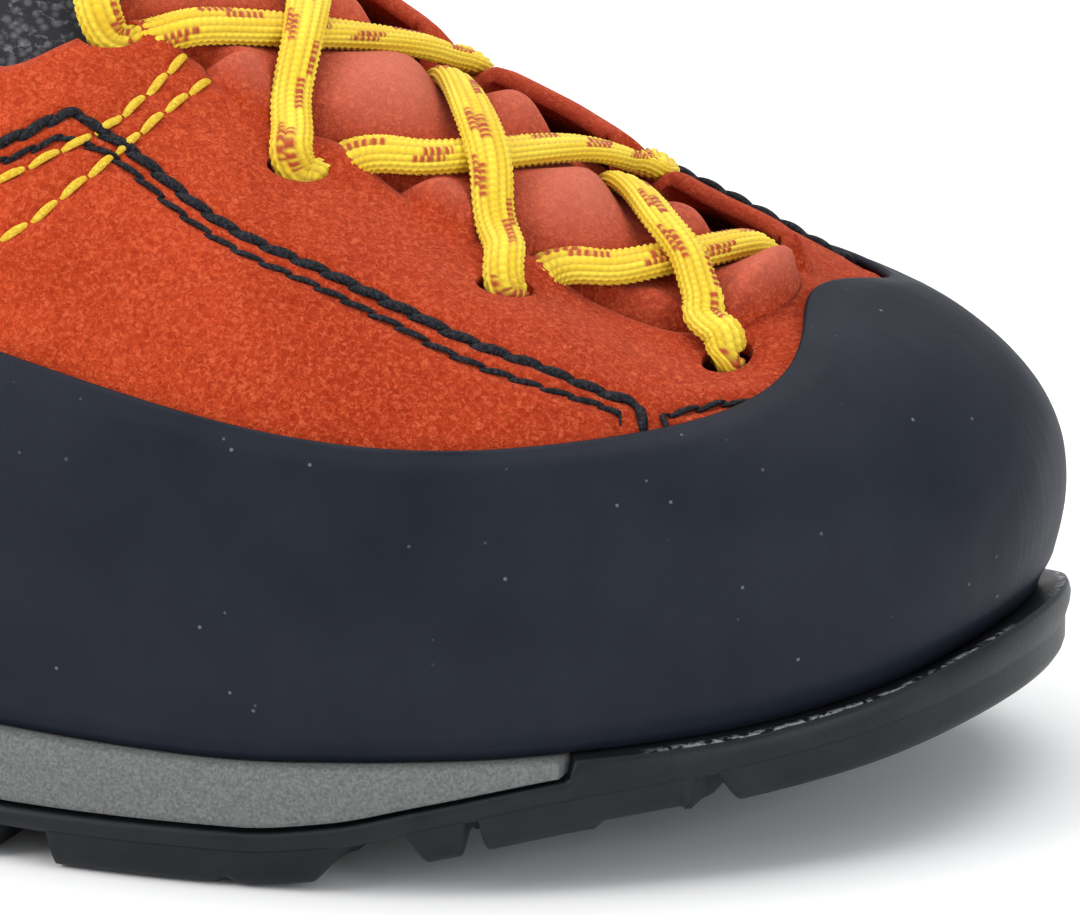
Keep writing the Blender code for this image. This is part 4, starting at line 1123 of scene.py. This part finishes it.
# Places where the padding under the laces swells over the near edge and hides it
MERGED = ((5.24, 0.26), (4.05, 0.28))


def merged(row):
    """1 where the padding lies over the near edge, 0 where it is tucked under it."""
    share = smooth((2.15 - row) / 0.55)
    for place, width in MERGED:
        share = np.maximum(share, np.exp(-((row - place) / width) ** 4))
    return share


def tongue_side(rows, medial, cover, shares):
    """Border of the tongue along one side: under the suede's edge, or over it where it is covered."""
    q = RING - rows if medial else rows
    grid = []
    for share, over in shares:
        t = suede_height(q, share)
        under = -(UPPER_WALL + FIT_GAP + 0.0002)
        offset = under + (over - under) * cover
        grid.append(last(q, t) + last_normal(q, t) * offset[:, None])
    return grid


def tongue_top(rows, laces):
    """Upper side of the tongue: puffs of padding between the laces."""
    shares = [np.linspace(0.0, 0.12, 14), np.linspace(0.13, 0.86, 74), np.linspace(0.87, 1.0, 12)]
    row_grid, share = np.meshgrid(rows, np.concatenate(shares), indexing="ij")
    base = throat(row_grid, share, np.zeros_like(share))
    width = np.linalg.norm(last(RING - rows, 1.0) - last(rows, 1.0), axis=-1)[:, None]
    cover = merged(rows)[:, None]
    front = smooth((2.00 - rows) / 0.60)[:, None]
    near_rise = np.maximum(smooth(share * width / 0.0030), cover)
    far_rise = np.maximum(smooth((0.84 - share) / 0.20), front)
    puff = np.ones_like(share)
    for line in laces:
        away = distance_to(base + UPWARD * 0.0018, [line], 0.022)
        puff = puff * (1.0 - np.exp(-(away / 0.0050) ** 2))
    from_edges = smooth(np.minimum(share, 1.0 - share) * width / 0.0060)
    first = from_edges * smooth((rows - 0.3) / 1.6)[:, None]
    rear = smooth((6.9 - rows) / 0.8)[:, None]
    swell = puff * rear * (near_rise * far_rise * (1.0 - front) + first * front)
    lift = -0.0025 + 0.0024 * near_rise + 0.0007 * cover + 0.0058 * swell
    lift = lift - 0.0020 * (1.0 - far_rise) * rear + 0.00020 * waves(base, 0.016, 12)
    return base + UPWARD * lift[..., None], swell


def free_end(start, ends):
    """Rounded end of the tongue that stands free over the ankle, drawn on from its last row."""
    centre = start[len(start) // 2].copy()
    centre[1] = 0.5 * (start[0, 1] + start[-1, 1])
    half = 0.46 * abs(start[-1, 1] - start[0, 1])
    rows = []
    for turn in np.linspace(0.0, 0.5 * math.pi, 33)[1:]:
        reach = math.sin(turn)
        corner = math.sqrt(1.0 - 0.93 * max(0.0, (reach - 0.45) / 0.55) ** 2)
        width = half * (1.0 - 0.12 * reach) * corner
        arch = np.stack([0.0 * ends, ends * width, -TONGUE_END_ARCH * ends ** 2], -1)
        along = FREE_END_LEAN * TONGUE_FREE_LENGTH * reach
        share = smooth(reach / 0.80)
        rows.append((start + along) * (1.0 - share) + (centre + arch + along) * share)
    return np.stack(rows)


def make_tongue(suede, mesh_cloth, laces):
    rear = STATION_ROWS[-1] + 0.3
    rows = np.concatenate([np.linspace(0.0, 6.6, 300), np.linspace(6.62, rear, 60)])
    border = ((0.88, -0.0012), (0.91, -0.0007), (0.94, -0.0002), (0.965, 0.0002), (0.985, 0.0005),
              (1.0, 0.0007))
    near = tongue_side(rows, False, merged(rows), border)
    far = tongue_side(rows, True, smooth((1.95 - rows) / 0.60), border)
    middle, domes = tongue_top(rows, laces)
    grid = np.concatenate([np.stack(near, 1), middle, np.stack(far[::-1], 1)], 1)
    ends = np.linspace(-1.0, 1.0, grid.shape[1])
    top = np.concatenate([grid, free_end(grid[-1], ends)], 0)
    depth = (TONGUE_THICKNESS * (1.0 - ends ** 6))[:, None]
    edge = np.stack([top[-1] + depth * np.array([-0.22 * math.sin(a), 0.0, -0.5 + 0.5 * math.cos(a)])
                     for a in np.radians([35.0, 70.0, 105.0, 140.0])])
    under = top[np.searchsorted(rows, 2.2):][::-5] - depth * np.array([0.0, 0.0, 1.0])
    full = np.concatenate([top, edge, under], 0)
    cols = full.shape[1]
    lit = np.zeros(full.shape[:2])
    lit[:len(rows), len(near):cols - len(far)] = domes
    quads = grid_quads(len(full), cols, False, False)[:, ::-1]
    item = make_mesh("padded_tongue", full.reshape(-1, 3), quads, [suede, mesh_cloth],
                     values={"lit": lit.ravel()})
    index = np.zeros((len(full) - 1, cols - 1), np.int32)
    index[int(np.searchsorted(rows, 6.00)):] = 1
    item.data.polygons.foreach_set("material_index", index.ravel())
    return finish_piece(item, "suede_red", "tongue")


# Materials
class Nodes:
    """Short calls that build a material's node tree."""

    def __init__(self, name):
        self.material = bpy.data.materials.new(name)
        self.material.use_nodes = True
        self.tree = self.material.node_tree
        self.shader = self.tree.nodes["Principled BSDF"]

    def put(self, socket, value):
        if isinstance(value, bpy.types.NodeSocket):
            self.tree.links.new(value, socket)
        else:
            socket.default_value = value

    def add(self, kind, settings=None, **inputs):
        node = self.tree.nodes.new(kind)
        for key, value in (settings or {}).items():
            setattr(node, key, value)
        for key, value in inputs.items():
            self.put(node.inputs[key.replace("_", " ")], value)
        return node

    def noise(self, place, scale, detail=2.0, roughness=0.5, distortion=0.0):
        return self.add("ShaderNodeTexNoise", None, Vector=place, Scale=scale, Detail=detail,
                        Roughness=roughness, Distortion=distortion).outputs["Fac"]

    def cells(self, place, scale):
        return self.add("ShaderNodeTexVoronoi", None, Vector=place, Scale=scale).outputs["Distance"]

    def ramp(self, value, low, high):
        node = self.add("ShaderNodeValToRGB", None, Fac=value)
        node.color_ramp.elements[0].position = low
        node.color_ramp.elements[1].position = high
        return node.outputs["Color"]

    def math(self, operation, *values):
        node = self.add("ShaderNodeMath", {"operation": operation})
        for socket, value in zip(node.inputs, values):
            self.put(socket, value)
        return node.outputs[0]

    def mix(self, share, first, second, kind="MIX"):
        node = self.add("ShaderNodeMix", {"data_type": "RGBA", "blend_type": kind})
        for index, value in ((0, share), (6, first), (7, second)):
            self.put(node.inputs[index], value)
        return node.outputs[2]

    def place(self):
        return self.add("ShaderNodeTexCoord").outputs["Object"]

    def attribute(self, name, output="Fac"):
        return self.add("ShaderNodeAttribute", {"attribute_name": name}).outputs[output]

    def bump(self, height, strength, distance):
        return self.add("ShaderNodeBump", None, Height=height, Strength=strength,
                        Distance=distance).outputs["Normal"]

    def set(self, **values):
        for key, value in values.items():
            self.put(self.shader.inputs[key.replace("_", " ")], value)
        return self.material


def colour(red, green, blue):
    return (red, green, blue, 1.0)


def suede_material():
    m = Nodes("suede_nap")
    place = m.place()
    broad = m.noise(place, 55.0, 3.0)
    nap = m.noise(place, 1700.0, 3.0, 0.6, 1.0)
    fine = m.noise(place, 3300.0, 2.0, 0.6, 0.6)
    base = m.mix(m.ramp(broad, 0.30, 0.70), colour(0.480, 0.054, 0.012), colour(0.620, 0.078, 0.022))
    # painted shade: the suede grows darker towards the toe
    toewards = m.add("ShaderNodeSeparateXYZ", None, Vector=place).outputs["X"]
    painted_toe_shade = m.math("MINIMUM", m.math("MULTIPLY_ADD", toewards, 5.0, 0.0), 0.45)
    base = m.mix(m.math("MAXIMUM", painted_toe_shade, 0.0), base, colour(0.190, 0.006, 0.0005))
    dark = m.mix(m.ramp(nap, 0.34, 0.54), colour(0.70, 0.52, 0.46), colour(1, 1, 1))
    tinted = m.mix(1.0, base, dark, "MULTIPLY")
    light = m.math("MULTIPLY", m.ramp(nap, 0.52, 0.70), 0.50)
    tinted = m.mix(light, tinted, colour(0.66, 0.15, 0.060))
    tinted = m.mix(m.math("MULTIPLY", m.attribute("lit"), 0.65), tinted, colour(0.64, 0.190, 0.130))
    # darker tone along the suede's edge and rim
    tinted = m.mix(m.math("MULTIPLY", m.attribute("edge_darkening"), 0.45), tinted, colour(0.36, 0.060, 0.035))
    height = m.math("ADD", m.math("MULTIPLY", nap, 0.7), m.math("MULTIPLY", fine, 0.3))
    normal = m.bump(height, 0.85, 0.0005)
    return m.set(Base_Color=tinted, Roughness=0.92, Normal=normal, Specular_IOR_Level=0.10,
                 Sheen_Weight=0.16, Sheen_Roughness=0.42, Sheen_Tint=colour(1.0, 0.50, 0.36))


# Waves a metre of the polish streaks, along the rand and up it
STREAK_SCALE = (900.0, 42.0, 1.0)


def rand_material():
    m = Nodes("rand_rubber")
    place = m.place()
    laid = m.add("ShaderNodeMapping", None, Scale=STREAK_SCALE,
                 Vector=m.add("ShaderNodeUVMap", {"uv_map": "place"}).outputs["UV"]).outputs["Vector"]
    streaks = m.noise(laid, 1.0, 3.0, 0.6)
    mottle = m.noise(place, 70.0, 4.0, 0.6)
    grain = m.noise(place, 2600.0, 2.0, 0.7)
    base = m.mix(m.ramp(mottle, 0.30, 0.75), colour(0.0080, 0.0105, 0.0175), colour(0.0130, 0.0160, 0.0250))
    dust = m.math("SUBTRACT", 1.0, m.ramp(m.cells(place, 420.0), 0.07, 0.11))
    speck = m.math("MULTIPLY", dust, m.ramp(m.noise(place, 230.0, 1.0), 0.58, 0.64))
    base = m.mix(m.math("MULTIPLY", speck, 0.55), base, colour(0.20, 0.21, 0.23))
    gloss = m.math("MULTIPLY_ADD", streaks, 0.16, 0.44)
    height = m.math("ADD", m.math("MULTIPLY", streaks, 0.5), m.math("MULTIPLY", grain, 0.5))
    return m.set(Base_Color=base, Roughness=gloss, Normal=m.bump(height, 0.25, 0.0003),
                 Specular_IOR_Level=0.12)


def sole_material():
    m = Nodes("sole_rubber")
    place = m.place()
    mottle = m.noise(place, 110.0, 4.0, 0.6)
    grain = m.noise(place, 1900.0, 3.0, 0.7)
    base = m.mix(m.ramp(mottle, 0.30, 0.75), colour(0.0080, 0.0092, 0.0120), colour(0.0160, 0.0180, 0.0215))
    glint = m.math("MULTIPLY", m.attribute("glint"), m.ramp(m.noise(place, 900.0, 2.0, 0.6), 0.46, 0.58))
    base = m.mix(glint, base, colour(0.42, 0.45, 0.48))
    gloss = m.math("MULTIPLY_ADD", mottle, 0.22, 0.30)
    return m.set(Base_Color=base, Roughness=gloss, Normal=m.bump(grain, 0.20, 0.0003),
                 Specular_IOR_Level=0.17)


def foam_material():
    m = Nodes("midsole_foam")
    place = m.place()
    speckle = m.noise(place, 2400.0, 3.0, 0.75)
    broad = m.noise(place, 60.0, 2.0)
    base = m.mix(m.ramp(speckle, 0.36, 0.66), colour(0.086, 0.088, 0.086), colour(0.190, 0.196, 0.196))
    base = m.mix(m.math("MULTIPLY", broad, 0.35), base, colour(0.112, 0.116, 0.114))
    return m.set(Base_Color=base, Roughness=0.72, Normal=m.bump(speckle, 0.30, 0.0003),
                 Specular_IOR_Level=0.3)


def knit_material():
    m = Nodes("knit_mesh")
    place = m.place()
    hole = m.ramp(m.cells(place, 760.0), 0.18, 0.50)
    flecks = m.noise(place, 900.0, 2.0, 0.7)
    base = m.mix(hole, colour(0.085, 0.086, 0.094), colour(0.018, 0.018, 0.022))
    base = m.mix(m.math("MULTIPLY", m.ramp(flecks, 0.55, 0.72), 0.55), base, colour(0.21, 0.21, 0.23))
    return m.set(Base_Color=base, Roughness=0.9, Normal=m.bump(hole, -0.7, 0.0005), Specular_IOR_Level=0.2,
                 Sheen_Weight=0.15)


def cloth_material(name, grain, low, high, specular):
    """Dull inner cloth of two mixed tones; grain is the noise's scale, detail and roughness."""
    m = Nodes(name)
    weave = m.noise(m.place(), *grain)
    return m.set(Base_Color=m.mix(weave, low, high), Roughness=0.95, Normal=m.bump(weave, 0.5, 0.0004),
                 Specular_IOR_Level=specular)


def lace_material():
    m = Nodes("lace_braid")
    place = m.place()
    fibre = m.noise(place, 4200.0, 2.0, 0.6)
    tone = m.attribute("tone", "Color")
    shade = m.mix(fibre, colour(0.80, 0.76, 0.70), colour(1.12, 1.12, 1.10))
    base = m.mix(1.0, tone, shade, "MULTIPLY")
    return m.set(Base_Color=base, Roughness=0.62, Normal=m.bump(fibre, 0.25, 0.0002),
                 Specular_IOR_Level=0.35, Sheen_Weight=0.12)


def thread_material(name, low, high):
    m = Nodes(name)
    place = m.place()
    # noise along the twist mixes two tones; on the black thread the lighter one is a painted glint
    twist_and_glint = m.noise(place, 2600.0, 2.0, 0.6, 0.8)
    base = m.mix(m.ramp(twist_and_glint, 0.42, 0.74), colour(*low), colour(*high))
    return m.set(Base_Color=base, Roughness=0.6, Normal=m.bump(twist_and_glint, 0.8, 0.0003), Specular_IOR_Level=0.16)


def floor_material():
    m = Nodes("studio_floor")
    place = m.place()
    soft = m.noise(place, 3.0, 2.0)
    base = m.mix(soft, colour(0.93, 0.93, 0.935), colour(0.95, 0.95, 0.955))
    return m.set(Base_Color=base, Roughness=0.85, Specular_IOR_Level=0.1)


# Stage
CAMERA_AZIMUTH = 25.0
CAMERA_ELEVATION = 18.0
CAMERA_DISTANCE = 1.2
CAMERA_TARGET = (0.0894, 0.0, 0.0375)
PIXELS_PER_METRE = 8700.0
IMAGE_WIDTH = 1080.0
SENSOR_WIDTH = 36.0
FLOOR_HALF = 14.0
FLOOR_DROP = 0.0002


def make_camera():
    azimuth, elevation = math.radians(CAMERA_AZIMUTH), math.radians(CAMERA_ELEVATION)
    back = Vector((math.sin(azimuth) * math.cos(elevation), -math.cos(azimuth) * math.cos(elevation),
                   math.sin(elevation)))
    data = bpy.data.cameras.new("camera")
    data.sensor_width = SENSOR_WIDTH
    data.lens = SENSOR_WIDTH * CAMERA_DISTANCE * PIXELS_PER_METRE / IMAGE_WIDTH
    data.clip_start, data.clip_end = 0.05, 60.0
    camera = bpy.data.objects.new("camera", data)
    bpy.context.scene.collection.objects.link(camera)
    camera.location = Vector(CAMERA_TARGET) + Vector(ORIGIN) + back * CAMERA_DISTANCE
    camera.rotation_euler = (-back).to_track_quat("-Z", "Y").to_euler()
    bpy.context.scene.camera = camera


def area_light(name, place, target, size, power, tint):
    data = bpy.data.lights.new(name, "AREA")
    data.shape = "RECTANGLE"
    data.size, data.size_y = size
    data.energy = power
    data.color = tint
    light = bpy.data.objects.new(name, data)
    bpy.context.scene.collection.objects.link(light)
    light.location = place
    light.rotation_euler = (Vector(target) - Vector(place)).to_track_quat("-Z", "Y").to_euler()


def make_stage():
    corners = np.array([(-1, -1, 0), (1, -1, 0), (1, 1, 0), (-1, 1, 0)]) * FLOOR_HALF - ORIGIN
    corners[:, 2] -= FLOOR_DROP
    floor = make_mesh("floor", corners, np.array([[0, 1, 2, 3]]), [floor_material()])
    world = bpy.data.worlds.new("studio")
    bpy.context.scene.world = world
    world.use_nodes = True
    background = world.node_tree.nodes["Background"]
    background.inputs["Color"].default_value = (0.96, 0.98, 1.0, 1.0)
    background.inputs["Strength"].default_value = 0.68
    area_light("overhead", (-0.15, 0.20, 1.35), (0.05, 0.0, 0.04), (2.2, 1.8), 21.0, (1.0, 0.99, 0.97))
    area_light("front_left", (-0.95, -0.95, 0.85), (0.02, -0.02, 0.05), (0.8, 0.8), 12.0, (1.0, 0.98, 0.96))
    area_light("toe_side", (1.35, -0.45, 0.32), (0.12, 0.0, 0.02), (0.5, 0.9), 7.0, (0.95, 0.98, 1.0))


def main():
    bpy.context.scene.view_settings.view_transform = "Standard"
    suede = suede_material()
    knit = knit_material()
    sole = sole_material()
    lace = lace_material()
    make_camera()
    make_stage()
    legs = [resample(leg_points(leg[1:]), 6.0 * LACE_STEP) for leg in BARS[:4] + PRIMES[:4]]
    lining = cloth_material("lining_cloth", (1500.0, 2.0, 0.6), colour(0.20, 0.030, 0.014),
                            colour(0.34, 0.048, 0.022), 0.15)
    felt = cloth_material("insole_felt", (1200.0, 4.0, 0.7), colour(0.035, 0.035, 0.038),
                          colour(0.090, 0.090, 0.096), 0.5)
    make_upper(suede, lining)
    make_rand(rand_material())
    make_midsole(foam_material())
    make_outsole(sole)
    make_tread(sole)
    make_insole(felt)
    make_collar(knit)
    make_tongue(suede, knit, legs)
    names = ["lace_crossing_%d" % number for number in range(1, len(STATIONS))]
    make_lace("lace_one", True, names, lace, 5)
    make_lace("lace_two", False, [], lace, 8)
    yellow = thread_material("thread_yellow", (0.62, 0.38, 0.02), (0.86, 0.66, 0.08))
    # the black thread's lighter, blue-grey tone is a painted glint
    black = thread_material("thread_black", (0.0010, 0.0010, 0.0018), (0.0330, 0.0350, 0.0480))
    rows = both_sides(YELLOW_ROWS[0]) + both_sides(YELLOW_ROWS[1])
    stitches("stitches_yellow", rows, YELLOW_STITCH, yellow, "lace_yellow")
    stitches("stitches_black_thick", both_sides(BLACK_ROWS[0]), THICK_STITCH, black, "rubber_black")
    rows = both_sides(BLACK_ROWS[1]) + [SHORT_ROW]
    stitches("stitches_black_thin", rows, THIN_STITCH, black, "rubber_black")


main()
